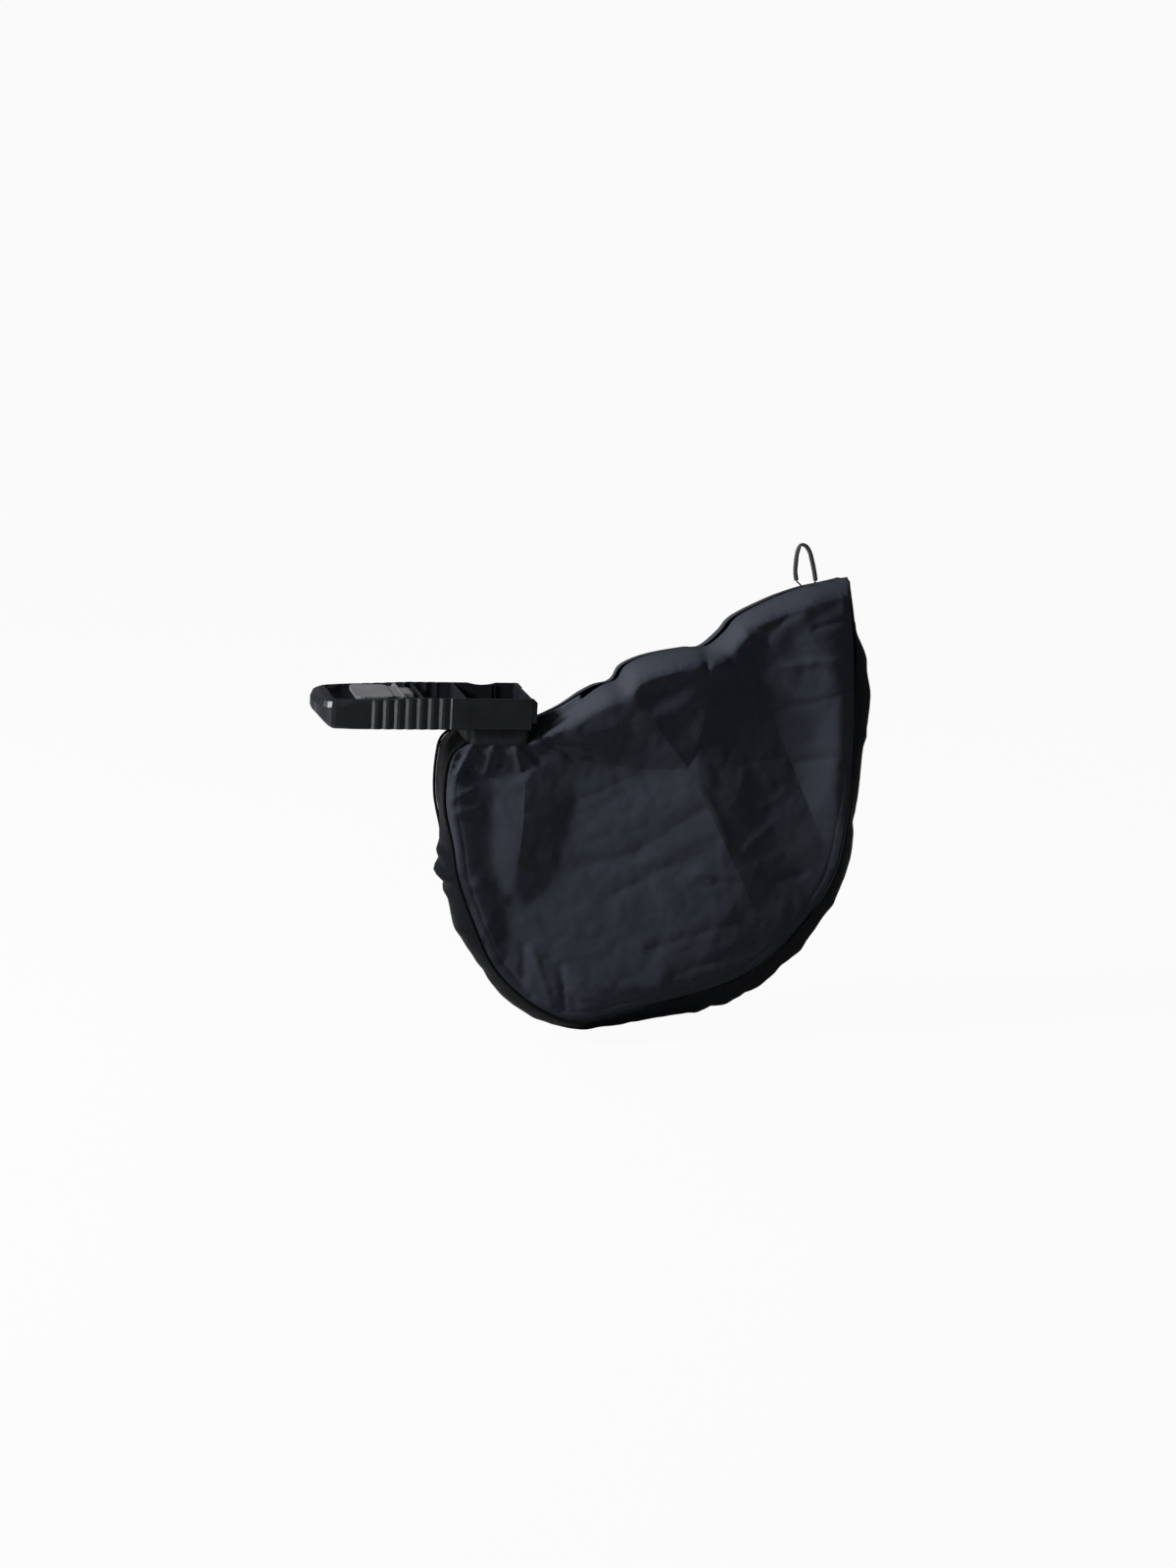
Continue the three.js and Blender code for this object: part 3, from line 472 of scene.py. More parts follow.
# Short creases read off the photograph, as start, stop, rise and the reach to either side.
FRONT_RIPPLES = [
    ((75, -222), (150, -200), -2.2, 26, 34), ((150, -200), (228, -140), -2.4, 26, 34),
    ((50, -165), (130, -125), -1.6, 26, 30), ((170, -328), (290, -288), -2.0, 20, 26),
    ((200, -366), (310, -322), -2.4, 16, 24), ((330, 118), (294, 73), -3, 16, 20),
    ((319, 42), (361, 52), 2.5, 12, 18), ((361, 52), (412, 59), 2.5, 12, 18),
    ((357, -86), (402, -73), -3, 18, 26), ((40, -340), (75, -400), -2, 16, 22),
    ((5, -325), (8, -368), -2.4, 14, 20), ((-72, -56), (-94, -104), 6, 8, 7),
    ((-60, -56), (-76, -96), -6, 8, 9), ((-46, -56), (-54, -96), 5, 8, 7),
    ((-34, -56), (-36, -88), -6, 7, 8), ((-20, -56), (-10, -92), 5, 8, 8),
    ((-10, -56), (14, -84), -6, 7, 8), ((0, -54), (46, -76), 5, 6, 6), ((8, -50), (80, -66), -4, 6, 7),
    ((-88, -75), (-102, -118), -5, 9, 9), ((-100, -132), (-70, -118), 3, 10, 12),
    ((-92, -150), (-60, -142), 2.5, 10, 12), ((-22, -345), (18, -392), -2.8, 10, 14),
    ((18, -330), (44, -402), 2.4, 9, 12), ((56, -350), (62, -408), -2.6, 9, 12),
    ((-46, -318), (-6, -340), -2.4, 9, 12), ((250, 86), (300, 96), -3.2, 8, 11),
    ((300, 96), (340, 115), -3.2, 8, 11), ((262, 98), (290, 72), 2.4, 8, 10),
    ((362, 96), (402, 108), -2.6, 8, 12), ((310, -20), (404, 8), -2.0, 12, 20),
    ((60, -140), (150, -96), -1.8, 18, 26), ((110, -262), (235, -196), -2.0, 22, 30),
    ((-60, -240), (-20, -262), 2.2, 10, 14), ((232, -120), (262, -180), 1.8, 12, 16),
    ((330, -240), (372, -228), -2.4, 9, 14), ((290, -190), (330, -160), 1.8, 12, 18),
]
# The back panel's folds are a guess: the photograph doesn't show it.
BACK_FOLDS = [
    [(211, -82, 12), (256, -206, 9), (300, -330, 2)],
    [(211, -82, 12), (120, -161, -4), (30, -240, -9), (-30, -290, -3)],
    [(211, -82, 12), (306, -91, -6), (400, -100, -2)],
    [(211, -82, 12), (230, -16, 9), (250, 50, 3)],
]
BACK_HEM = [(-1, 0), (415, 0)]
BACK_HOLLOWS = [
    (60, -90, 3), (100, -330, 6), (200, -300, -2), (340, -230, 6), (340, 20, 4), (150, -20, -3),
    (-60, -150, -5), (0, -320, 2), (380, 90, 2), (300, 80, 1), (40, -160, -3), (180, -380, 3),
]
FOLD_GAIN = 1.3
FOLD_SOFT = 4.5
FOLD_CRISP = 0.9
FOLD_BAND = (3, 18)
RELIEF_STEP = 2.5
RELIEF_MARGIN = 10
seam_line = spline(SEAM_ROUTE, BORDER_STEP)
top_line = spline(TOP_ROUTE, BORDER_STEP)
neck_line = np.linspace(top_line[0], seam_line[0], NECK_STEPS)[1:-1]
border = np.vstack([seam_line, top_line[-2::-1], neck_line])
relief_x = np.arange(border[:, 0].min() - RELIEF_MARGIN, border[:, 0].max() + RELIEF_MARGIN, RELIEF_STEP)
relief_z = np.arange(border[:, 1].min() - RELIEF_MARGIN, border[:, 1].max() + RELIEF_MARGIN, RELIEF_STEP)


def crease_rise(creases, x, z):
    """Height of short rounded creases, each as (start, stop, rise, reach left, reach right)."""
    rise = np.zeros_like(x)
    for start, stop, height, left, right in creases:
        dx, dz = stop[0] - start[0], stop[1] - start[1]
        length = math.hypot(dx, dz)
        along = ((x - start[0]) * dx + (z - start[1]) * dz) / length
        across = ((x - start[0]) * dz - (z - start[1]) * dx) / length
        past = np.maximum(0, np.maximum(-along, along - length))
        reach = np.where(across < 0, left, right)
        rise += height * np.maximum(0, 1 - np.hypot(across, past) / reach) ** 2
    return rise


def random_creases(count, seed, low, high, size):
    """Short creases at random places, as left by handling."""
    draw = random.Random(seed)
    creases = []
    for _ in range(count):
        x, z = draw.uniform(-110, 430), draw.uniform(-425, 140)
        way = draw.uniform(0, math.pi)
        length = draw.uniform(0.6, 1.4) * size
        rise = draw.uniform(low, high) * draw.choice((-1, 1))
        reach = draw.uniform(0.18, 0.4) * size
        creases.append(((x, z), (x + length * math.cos(way), z + length * math.sin(way)), rise,
                        reach, reach * draw.uniform(0.6, 1.6)))
    return creases


def softened(values, width):
    """The raster blurred by a Gaussian of the given width in millimetres."""
    reach = math.ceil(3 * width / RELIEF_STEP)
    weights = np.exp(-0.5 * (np.arange(-reach, reach + 1) * RELIEF_STEP / width) ** 2)
    weights /= weights.sum()
    for axis in (0, 1):
        padded = np.pad(values, [(reach, reach) if own == axis else (0, 0) for own in (0, 1)], mode="edge")
        size = values.shape[axis]
        values = sum(np.take(padded, range(step, step + size), axis=axis) * weight
                     for step, weight in enumerate(weights))
    return values


def fold_relief(folds, hollows, hem):
    """Raster of the cloth's height between its folds and hollows: crisp at a fold, else soft."""
    known = {(x, z): 0.0 for x, z, _ in SEAM_ROUTE}
    known.update({(x, z): float(np.interp(x, *zip(*hem))) for x, z, _ in TOP_ROUTE})
    for x, z, height in [*hollows, *(knot for fold in folds for knot in fold)]:
        known[(x, z)] = height
    made = geometry.delaunay_2d_cdt([Vector(place) for place in known], [], [], 0, 1e-4)
    heights = np.array(list(known.values()))
    corners = np.array([tuple(place) for place in made[0]])
    heights = np.array([heights[origin[0]] for origin in made[3]])
    x, z = np.meshgrid(relief_x, relief_z)
    raised = np.zeros_like(x)
    for face in made[2]:
        (ax, az), (bx, bz), (cx, cz) = corners[list(face)]
        size = (bx - ax) * (cz - az) - (cx - ax) * (bz - az)
        second = ((x - ax) * (cz - az) - (cx - ax) * (z - az)) / size
        third = ((bx - ax) * (z - az) - (x - ax) * (bz - az)) / size
        within = (second >= 0) & (third >= 0) & (second + third <= 1)
        low, middle, high = heights[list(face)]
        raised[within] = (low + (middle - low) * second + (high - low) * third)[within]
    away = np.full_like(x, 1e9)
    for fold in folds:
        for (x0, z0, _), (x1, z1, _) in zip(fold, fold[1:]):
            dx, dz = x1 - x0, z1 - z0
            along = np.clip(((x - x0) * dx + (z - z0) * dz) / (dx * dx + dz * dz), 0, 1)
            away = np.minimum(away, np.hypot(x - x0 - along * dx, z - z0 - along * dz))
    crisp = np.clip((FOLD_BAND[1] - away) / (FOLD_BAND[1] - FOLD_BAND[0]), 0, 1)
    return softened(raised, FOLD_SOFT) * (1 - crisp) + softened(raised, FOLD_CRISP) * crisp


def panel_depth(places, relief, creases, layer):
    """Distance of a panel's outer face from the mid-plane over points of that plane."""
    x, z = places[:, 0], places[:, 1]
    gaps = np.hypot(x[:, None] - border[None, :, 0], z[:, None] - border[None, :, 1])
    edge = np.min(gaps, axis=1)
    half = border[np.argmin(gaps, axis=1), 2]
    depth = half + (FULL_HALF - half) * (1 - np.exp(-edge / HEM_ROLL))
    depth += SWELL * (1 - np.exp(-edge / SWELL_ROLL)) + PANEL_OUT
    column = (x - relief_x[0]) / RELIEF_STEP
    row = (z - relief_z[0]) / RELIEF_STEP
    left, low = column.astype(int), row.astype(int)
    right_share, high_share = column - left, row - low
    below = relief[low, left] * (1 - right_share) + relief[low, left + 1] * right_share
    above = relief[low + 1, left] * (1 - right_share) + relief[low + 1, left + 1] * right_share
    fold = below * (1 - high_share) + above * high_share
    crumple = []
    for across, up in places / CRUMPLE_SIZE:
        coarse = abs(noise.noise(Vector((across, up, layer))))
        fine = abs(noise.noise(Vector((across * 2, up * 2, layer + 9))))
        crumple.append(coarse + 0.5 * fine)
    depth += (FOLD_GAIN * fold + crease_rise(creases, x, z)) * np.minimum(1, edge / FOLD_FADE)
    seam_edge = np.min(gaps[:, :len(seam_line)], axis=1)
    depth -= STITCH_SINK * np.exp(-((seam_edge - STITCH_ROW) / STITCH_WIDTH) ** 2)
    return depth + CRUMPLE * np.array(crumple) * np.minimum(1, edge / CRUMPLE_FADE)


def inside_loop(points, loop):
    """Which points lie within a closed loop."""
    x, z = points[:, 0], points[:, 1]
    odd = np.zeros(len(points), dtype=bool)
    for (x0, z0), (x1, z1) in zip(loop, np.roll(loop, -1, axis=0)):
        if z0 == z1:
            continue
        crosses = (z0 > z) != (z1 > z)
        odd ^= crosses & (x < (x1 - x0) * (z - z0) / (z1 - z0) + x0)
    return odd


def plan_triangles(folds):
    """Triangles over a panel's outline whose edges run along its folds."""
    loop = border[:, :2]
    row_height = PANEL_GRID * math.sqrt(3) / 2
    lattice = []
    for row, z in enumerate(np.arange(loop[:, 1].min(), loop[:, 1].max(), row_height)):
        shift = PANEL_GRID / 2 * (row % 2)
        lattice += [(x + shift, z) for x in np.arange(loop[:, 0].min(), loop[:, 0].max(), PANEL_GRID)]
    lattice = np.array(lattice)
    lattice = lattice[inside_loop(lattice, loop)]
    way = np.roll(loop, -1, axis=0) - np.roll(loop, 1, axis=0)
    way /= np.linalg.norm(way, axis=1)[:, None]
    inward = np.column_stack([-way[:, 1], way[:, 0]])
    rows = np.vstack([loop + inward * depth for depth in INNER_ROWS])
    gaps = np.hypot(rows[:, None, 0] - loop[None, :, 0], rows[:, None, 1] - loop[None, :, 1]).min(axis=1)
    wanted = np.repeat(INNER_ROWS, len(loop))
    rows = rows[inside_loop(rows, loop) & (gaps > 0.8 * wanted)]
    lines = []
    for fold in folds:
        knots = np.array(fold)[:, :2]
        line = spline(knots, PANEL_GRID)
        lines.append(line[inside_loop(line, loop)])
    fixed = np.vstack([loop, *lines, rows])
    near = np.hypot(lattice[:, None, 0] - fixed[None, :, 0], lattice[:, None, 1] - fixed[None, :, 1])
    points = np.vstack([fixed, lattice[near.min(axis=1) > PANEL_GRID * 0.6]])
    edges = [(index, (index + 1) % len(loop)) for index in range(len(loop))]
    first = len(loop)
    for line in lines:
        edges += [(first + index, first + index + 1) for index in range(len(line) - 1)]
        first += len(line)
    made = geometry.delaunay_2d_cdt([Vector(place) for place in points], edges, [], 0, 1e-4)
    places = np.array([tuple(place) for place in made[0]])
    faces = np.array([face for face in made[2] if len(face) == 3])
    keep = inside_loop(places[faces].mean(axis=1), loop)
    creased = {tuple(sorted(pair)) for pair, origin in zip(made[1], made[4])
               if any(edge >= len(loop) for edge in origin)}
    return places, faces[keep], creased


def thicken(piece, depth):
    """Gives a cloth surface its thickness, towards the back of its faces."""
    solid = piece.modifiers.new("thickness", "SOLIDIFY")
    solid.thickness = depth * MM
    solid.offset = -1
    with bpy.context.temp_override(object=piece, active_object=piece, selected_objects=[piece]):
        bpy.ops.object.modifier_apply(modifier=solid.name)


HANDLED_CLOTH = 55.5556
FIBRE_TANGLE = 1.11111
BOND_PITCH = 2.0


def spunbonded_nonwoven():
    """Matt black nonwoven: a felt of fine fibres, pin-bonded in a close grid of tiny dots. The
    2 mm grid is drawn a little coarser than the real one so that it shows."""
    material, tree = new_material("spunbonded_nonwoven")
    place = add_node(tree, "TexCoord").outputs["Object"]
    cloudy = add_node(tree, "TexNoise", {
        "Vector": place, "Scale": features(HANDLED_CLOTH), "Detail": 5.0, "Roughness": 0.6}).outputs["Fac"]
    fibres = add_node(tree, "TexNoise", {
        "Vector": place, "Scale": features(FIBRE_TANGLE), "Detail": 3.0, "Distortion": 1.5}).outputs["Fac"]
    dots = add_node(tree, "TexVoronoi", {
        "Vector": place, "Scale": features(BOND_PITCH), "Randomness": 0.25}, feature="F1")
    pressed = add_node(tree, "MapRange", {
        "Value": dots.outputs["Distance"], "From Min": 0.1, "From Max": 0.45}).outputs["Result"]
    felt = add_node(tree, "Math", {0: fibres, 1: pressed}, operation="ADD").outputs[0]
    bump = add_node(tree, "Bump", {"Height": felt, "Strength": 0.35, "Distance": 0.12 * MM})
    worn = add_node(tree, "ValToRGB", {"Fac": cloudy}, [(0.3, "#2b2f37"), (0.7, "#31353f")])
    fuzzy = add_node(tree, "ValToRGB", {"Fac": felt}, [(0.5, "#1d2026"), (1.3, "#3c4049")])
    # Inputs 6 and 7 and output 2 are the ones of a mix of colours.
    colour = add_node(tree, "Mix", {
        "Factor": 0.25, 6: worn.outputs["Color"], 7: fuzzy.outputs["Color"]}, data_type="RGBA").outputs[2]
    shader = add_node(tree, "BsdfPrincipled", {
        "Base Color": colour, "Roughness": 0.75, "Specular IOR Level": 0.12,
        "Normal": bump.outputs["Normal"]})
    add_node(tree, "OutputMaterial", {"Surface": shader.outputs["BSDF"]})
    return material


nonwoven = spunbonded_nonwoven()
front_creases = (FRONT_RIPPLES + random_creases(90, seed=4, low=0.3, high=1.0, size=50)
                 + random_creases(170, seed=12, low=0.25, high=0.7, size=24))
back_creases = (random_creases(90, seed=9, low=0.4, high=1.4, size=60)
                + random_creases(170, seed=13, low=0.25, high=0.7, size=24))


def side_panel(name, side, folds, hollows, hem, creases, layer):
    """A panel's cloth on the front, side -1, or the back, side 1. Only the front hem stands up."""
    places, faces, creased = plan_triangles(folds)
    depth = panel_depth(places, fold_relief(folds, hollows, hem), creases, layer)
    zipped = top_line[top_line[:, 0] > ZIP_START[0]]
    gaps = np.hypot(places[:, None, 0] - zipped[None, :, 0], places[:, None, 1] - zipped[None, :, 1])
    begun = np.clip((places[:, 0] - ZIP_START[0]) / HEM_BEGINS, 0, 1)
    stand = (HEM_STAND if side < 0 else 0) * np.exp(-gaps.min(axis=1) / HEM_ROLL) * begun
    vertices = [point(x, side * y, z + lift) for (x, z), y, lift in zip(places, depth, stand)]
    if side > 0:
        faces = faces[:, ::-1]
    piece = mesh_piece(name, vertices, faces, nonwoven)
    for edge in piece.data.edges:
        edge.use_edge_sharp = tuple(sorted(edge.vertices)) in creased
    thicken(piece, PANEL_CLOTH)
    return piece


front_piece = side_panel(
    "front_panel_cloth", -1, FRONT_FOLDS, FRONT_HOLLOWS, FRONT_HEM, front_creases, FRONT_LAYER)
back_piece = side_panel(
    "back_panel_cloth", 1, BACK_FOLDS, BACK_HOLLOWS, BACK_HEM, back_creases, BACK_LAYER)
for piece, node_name in ((front_piece, "front_panel"), (back_piece, "back_panel")):
    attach(piece, "bag")
    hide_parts(node_name)

# Gusset
# A strip of polyurethane-coated polyester sewn between the curved seams. The coating makes it
# glossier than the panels, and it puffs out between them with creases across its width.
GUSSET_COLUMNS = 25
GUSSET_CLOTH = 0.6
KINK_SLANT = 0.004
CREASES_ALONG = 34
CREASE_HEIGHT = 0.3
CREASE_WITH_SWELL = 0.03
SEAM_ALLOWANCE = 0.8
COATING_CLOUD = 33.3333
COATING_CRINKLE = 8.33333
FINE_WEAVE = 0.714286
# How far the strip stands out of the line between the seams, as (share of the seam, mm).
GUSSET_SWELL = [
    (0, 0), (0.03, 2), (0.08, 1), (0.12, 11), (0.145, 19), (0.17, 16), (0.205, 21), (0.25, 16),
    (0.3, 22), (0.35, 21), (0.38, 28), (0.44, 34), (0.52, 42), (0.6, 39), (0.65, 37), (0.7, 31),
    (0.75, 25), (0.8, 26), (0.87, 35), (0.91, 30), (0.95, 13), (0.965, 7), (1, 4),
]
# Sharp kinks across the strip, as (share of the seam, share that one side reaches, mm).
GUSSET_KINKS = [
    (0.128, 0.008, 4), (0.139, 0.006, -4), (0.148, 0.007, 5), (0.161, 0.006, -3), (0.17, 0.008, 3),
    (0.21, 0.01, 2), (0.26, 0.01, -2), (0.33, 0.009, 2), (0.42, 0.01, -2), (0.492, 0.008, 2.5),
    (0.507, 0.006, -2.5), (0.521, 0.009, 2.5), (0.542, 0.006, -2), (0.556, 0.009, 2),
    (0.582, 0.008, -2), (0.605, 0.01, 2), (0.66, 0.009, 2), (0.74, 0.01, -2), (0.83, 0.009, 2),
]


def coated_polyester(name, dark, light, specular):
    """Coated cloth: near black, a film over a fine weave, so it glints on every crease."""
    material, tree = new_material(name)
    place = add_node(tree, "TexCoord").outputs["Object"]
    cloudy = add_node(tree, "TexNoise", {
        "Vector": place, "Scale": features(COATING_CLOUD), "Detail": 5.0}).outputs["Fac"]
    weave = add_node(tree, "TexNoise", {
        "Vector": place, "Scale": features(FINE_WEAVE), "Detail": 1.0}).outputs["Fac"]
    crinkle = add_node(tree, "TexNoise", {
        "Vector": place, "Scale": features(COATING_CRINKLE), "Detail": 4.0, "Distortion": 0.8})
    relief = add_node(tree, "Math", {0: crinkle.outputs["Fac"], 1: weave}, operation="ADD").outputs[0]
    bump = add_node(tree, "Bump", {"Height": relief, "Strength": 0.35, "Distance": 0.5 * MM})
    rough = add_node(tree, "MapRange", {
        "Value": cloudy, "From Min": 0.3, "From Max": 0.7, "To Min": 0.42, "To Max": 0.56})
    colour = add_node(tree, "ValToRGB", {"Fac": cloudy}, [(0.3, dark), (0.7, light)])
    shader = add_node(tree, "BsdfPrincipled", {
        "Base Color": colour.outputs["Color"], "Roughness": rough.outputs["Result"],
        "Specular IOR Level": specular, "Normal": bump.outputs["Normal"]})
    add_node(tree, "OutputMaterial", {"Surface": shader.outputs["BSDF"]})
    return material


coated = coated_polyester("coated_polyester", "#06080d", "#0c0f16", 0.1)
seam_way = np.gradient(seam_line[:, :2], axis=0)
seam_way /= np.linalg.norm(seam_way, axis=1)[:, None]
seam_outward = np.column_stack([seam_way[:, 1], -seam_way[:, 0]])
seam_share = np.linspace(0, 1, len(seam_line))


def gusset_swell(share):
    """The strip's swell at a share of the seam, eased between the listed ones."""
    for (start, low), (stop, high) in zip(GUSSET_SWELL, GUSSET_SWELL[1:]):
        if share <= stop:
            part = (share - start) / (stop - start)
            return low + (high - low) * part * part * (3 - 2 * part)
    return 0


def gusset_strip():
    vertices = []
    for (x, z, half), outward, share in zip(seam_line, seam_outward, seam_share):
        swell = gusset_swell(share)
        for column in range(GUSSET_COLUMNS):
            across = -1 + 2 * column / (GUSSET_COLUMNS - 1)
            crease = noise.noise(Vector((share * CREASES_ALONG, across * 1.6, 3.0)))
            crease += 0.5 * noise.noise(Vector((share * 80, across * 3.0, 8.0)))
            height = CREASE_HEIGHT + CREASE_WITH_SWELL * swell
            out = swell * (1 - across ** 2) + height * crease * (1 - across ** 4)
            for middle, width, rise in GUSSET_KINKS:
                slant = share - middle + KINK_SLANT * across
                out += rise * max(0, 1 - abs(slant) / width) * (1 - across ** 2)
            vertices.append(point(
                x + outward[0] * out, across * (half + SEAM_ALLOWANCE), z + outward[1] * out))
    faces = []
    for row in range(len(seam_line) - 1):
        for column in range(GUSSET_COLUMNS - 1):
            first = row * GUSSET_COLUMNS + column
            faces.append((first, first + 1, first + GUSSET_COLUMNS + 1, first + GUSSET_COLUMNS))
    piece = mesh_piece("gusset_cloth", vertices, faces, coated)
    thicken(piece, GUSSET_CLOTH)
    return piece


gusset_piece = gusset_strip()
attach(gusset_piece, "bag")
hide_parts("gusset_strip")

# Piping
# A thin cord bound in black bias tape and sewn into each curved seam between panel and gusset,
# where it stiffens the edge.
PIPING_RADIUS = 2.0
PIPING_SIDES = 10
PIPING_OUT = 1.6
TAPE_GRAIN = 2.0


def bound_piping():
    """Bias tape over cord: darker than the panels and matt, with a fine woven grain."""
    material, tree = new_material("bias_bound_piping")
    place = add_node(tree, "TexCoord").outputs["Object"]
    grain = add_node(tree, "TexNoise", {
        "Vector": place, "Scale": features(TAPE_GRAIN), "Detail": 3.0}).outputs["Fac"]
    bump = add_node(tree, "Bump", {"Height": grain, "Strength": 0.4, "Distance": 0.2 * MM})
    colour = add_node(tree, "ValToRGB", {"Fac": grain}, [(0.35, "#08090a"), (0.7, "#101113")])
    shader = add_node(tree, "BsdfPrincipled", {
        "Base Color": colour.outputs["Color"], "Roughness": 0.75, "Specular IOR Level": 0.12,
        "Normal": bump.outputs["Normal"]})
    add_node(tree, "OutputMaterial", {"Surface": shader.outputs["BSDF"]})
    return material


piping_tape = bound_piping()


def piping(name, side):
    vertices = []
    for index, ((x, z, half), outward) in enumerate(zip(seam_line, seam_outward)):
        puff = 1 + 0.12 * noise.noise(Vector((index * 0.35, side, 0)))
        for corner in range(PIPING_SIDES):
            angle = corner / PIPING_SIDES * 2 * math.pi
            out = PIPING_RADIUS * (1.1 + puff * math.cos(angle))
            y = half + PIPING_OUT + PIPING_RADIUS * puff * math.sin(angle)
            vertices.append(point(x + outward[0] * out, side * y, z + outward[1] * out))
    faces = tube_faces(len(seam_line), PIPING_SIDES)
    if side > 0:
        faces = [face[::-1] for face in faces]
    return mesh_piece(name, vertices, faces, piping_tape)


for side, node_name in ((-1, "front_piping"), (1, "back_piping")):
    piece = piping(node_name + "_bound", side)
    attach(piece, "bag")
    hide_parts(node_name)

# Neck band
# The bag's mouth: coated cloth folded double, drawn over the frame's spigot a little gathered and
# fixed to it with four blackened steel rivets.
BAND_TOP = -40.3
BAND_BOTTOM = -61.0
BAND_ROWS = 10
BAND_STEP = 2.5
BAND_CLOTH = 1.0
BAND_GATHER = 0.9
BAND_ROLL = 0.8
# The spigot's left and right end and its half width.
SPIGOT = (-77, -3, 47)
BAND_CORNER = 11
BAND_GROW = 2.5
CORNER_STEPS = 8


def rounded_loop(x0, x1, half, corner, spacing):
    """A rectangle with round corners in plan, as equal steps with their outward ways."""
    centres = [(x1 - corner, half - corner, 0), (x0 + corner, half - corner, 90),
               (x0 + corner, corner - half, 180), (x1 - corner, corner - half, 270)]
    outline = []
    for cx, cy, start in centres:
        for step in range(CORNER_STEPS + 1):
            angle = math.radians(start + step / CORNER_STEPS * 90)
            outline.append((cx + corner * math.cos(angle), cy + corner * math.sin(angle)))
    outline.append(outline[0])
    outline = np.array(outline)
    travelled = np.concatenate([[0], np.cumsum(np.linalg.norm(np.diff(outline, axis=0), axis=1))])
    stops = np.linspace(0, travelled[-1], round(travelled[-1] / spacing), endpoint=False)
    loop = np.column_stack([np.interp(stops, travelled, column) for column in outline.T])
    way = np.roll(loop, -1, axis=0) - np.roll(loop, 1, axis=0)
    way /= np.linalg.norm(way, axis=1)[:, None]
    return loop, np.column_stack([way[:, 1], -way[:, 0]])


band_cloth = coated_polyester("coated_polyester_band", "#171a21", "#20232b", 0.25)


def neck_band():
    loop, outward = rounded_loop(
        SPIGOT[0] - BAND_GROW, SPIGOT[1] + BAND_GROW, SPIGOT[2] + BAND_GROW, BAND_CORNER, BAND_STEP)
    vertices = []
    for row in range(BAND_ROWS):
        share = row / (BAND_ROWS - 1)
        z = BAND_TOP + (BAND_BOTTOM - BAND_TOP) * share
        for index, ((x, y), (way_x, way_y)) in enumerate(zip(loop, outward)):
            gather = BAND_GATHER * noise.noise(Vector((index * 0.17, share * 1.5, 2.0))) * share
            roll = BAND_ROLL * math.sin(math.pi * share)
            vertices.append(point(x + way_x * (gather + roll), y + way_y * (gather + roll), z))
    faces = tube_faces(BAND_ROWS, len(loop), closed_ends=False)
    faces = [face[::-1] for face in faces]
    piece = mesh_piece("neck_band_cloth", vertices, faces, band_cloth)
    thicken(piece, BAND_CLOTH)
    return piece


band_piece = neck_band()
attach(band_piece, "bag")
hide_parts("neck_sleeve")
for name in ("neck_rivet_front", "neck_rivet_back", "neck_rivet_left", "neck_rivet_right"):
    dress(name, black_steel)

# Throat
# The same nonwoven as the panels', gathered between them from the neck to the start of the zip and
# sewn to their top edges.
THROAT_ROWS = 22
THROAT_COLUMNS = 41
THROAT_SAG = 5
THROAT_PLEAT = 3
THROAT_CRUMPLE = 1.2
THROAT_BELOW = (0.6, 2.2)


def throat():
    span = top_line[top_line[:, 0] < ZIP_START[0]]
    picks = np.linspace(0, len(span) - 1, THROAT_ROWS)
    rows = np.column_stack([np.interp(picks, np.arange(len(span)), column) for column in span.T])
    vertices = []
    for row, (x, z, half) in enumerate(rows):
        share = row / (THROAT_ROWS - 1)
        below = THROAT_BELOW[0] + THROAT_BELOW[1] * share
        free = math.sin(math.pi * share)
        for column in range(THROAT_COLUMNS):
            across = -1 + 2 * column / (THROAT_COLUMNS - 1)
            sag = THROAT_SAG * share * (1 - across ** 2)
            pleat = THROAT_PLEAT * math.sin(4 * math.pi * across) * free
            crumple = THROAT_CRUMPLE * noise.noise(Vector((share * 5, across * 6, 1.0))) * free
            vertices.append(point(
                x, across * (half + SEAM_ALLOWANCE), z - below - sag + pleat + crumple))
    faces = []
    for row in range(THROAT_ROWS - 1):
        for column in range(THROAT_COLUMNS - 1):
            first = row * THROAT_COLUMNS + column
            faces.append((first, first + THROAT_COLUMNS, first + THROAT_COLUMNS + 1, first + 1))
    piece = mesh_piece("throat_cloth", vertices, faces, nonwoven)
    thicken(piece, PANEL_CLOTH)
    return piece


throat_piece = throat()
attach(throat_piece, "bag")
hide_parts("throat_gore")

# Zip
# Woven polyester tapes with two rows of black metal teeth, sewn below the hems. The slider has
# a crown that the cord goes through, and a stop sits at either end of the teeth.
TAPE_RIB = 1.0
ZIP_TURN = (0, math.radians(25), math.radians(45))


def woven_tape():
    """Zip tape: matt, with woven ribs a millimetre apart."""
    material, tree = new_material("woven_zip_tape")
    place = add_node(tree, "TexCoord").outputs["Object"]
    way = add_node(tree, "Mapping", {"Vector": place, "Rotation": ZIP_TURN})
    ribs = add_node(tree, "TexWave", {
        "Vector": way.outputs["Vector"], "Scale": bands(TAPE_RIB), "Distortion": 1.0}).outputs["Fac"]
    bump = add_node(tree, "Bump", {"Height": ribs, "Strength": 0.4, "Distance": 0.2 * MM})
    colour = add_node(tree, "ValToRGB", {"Fac": ribs}, [(0.2, "#0f1013"), (0.9, "#1d1e22")])
    shader = add_node(tree, "BsdfPrincipled", {
        "Base Color": colour.outputs["Color"], "Roughness": 0.85, "Specular IOR Level": 0.2,
        "Normal": bump.outputs["Normal"]})
    add_node(tree, "OutputMaterial", {"Surface": shader.outputs["BSDF"]})
    return material


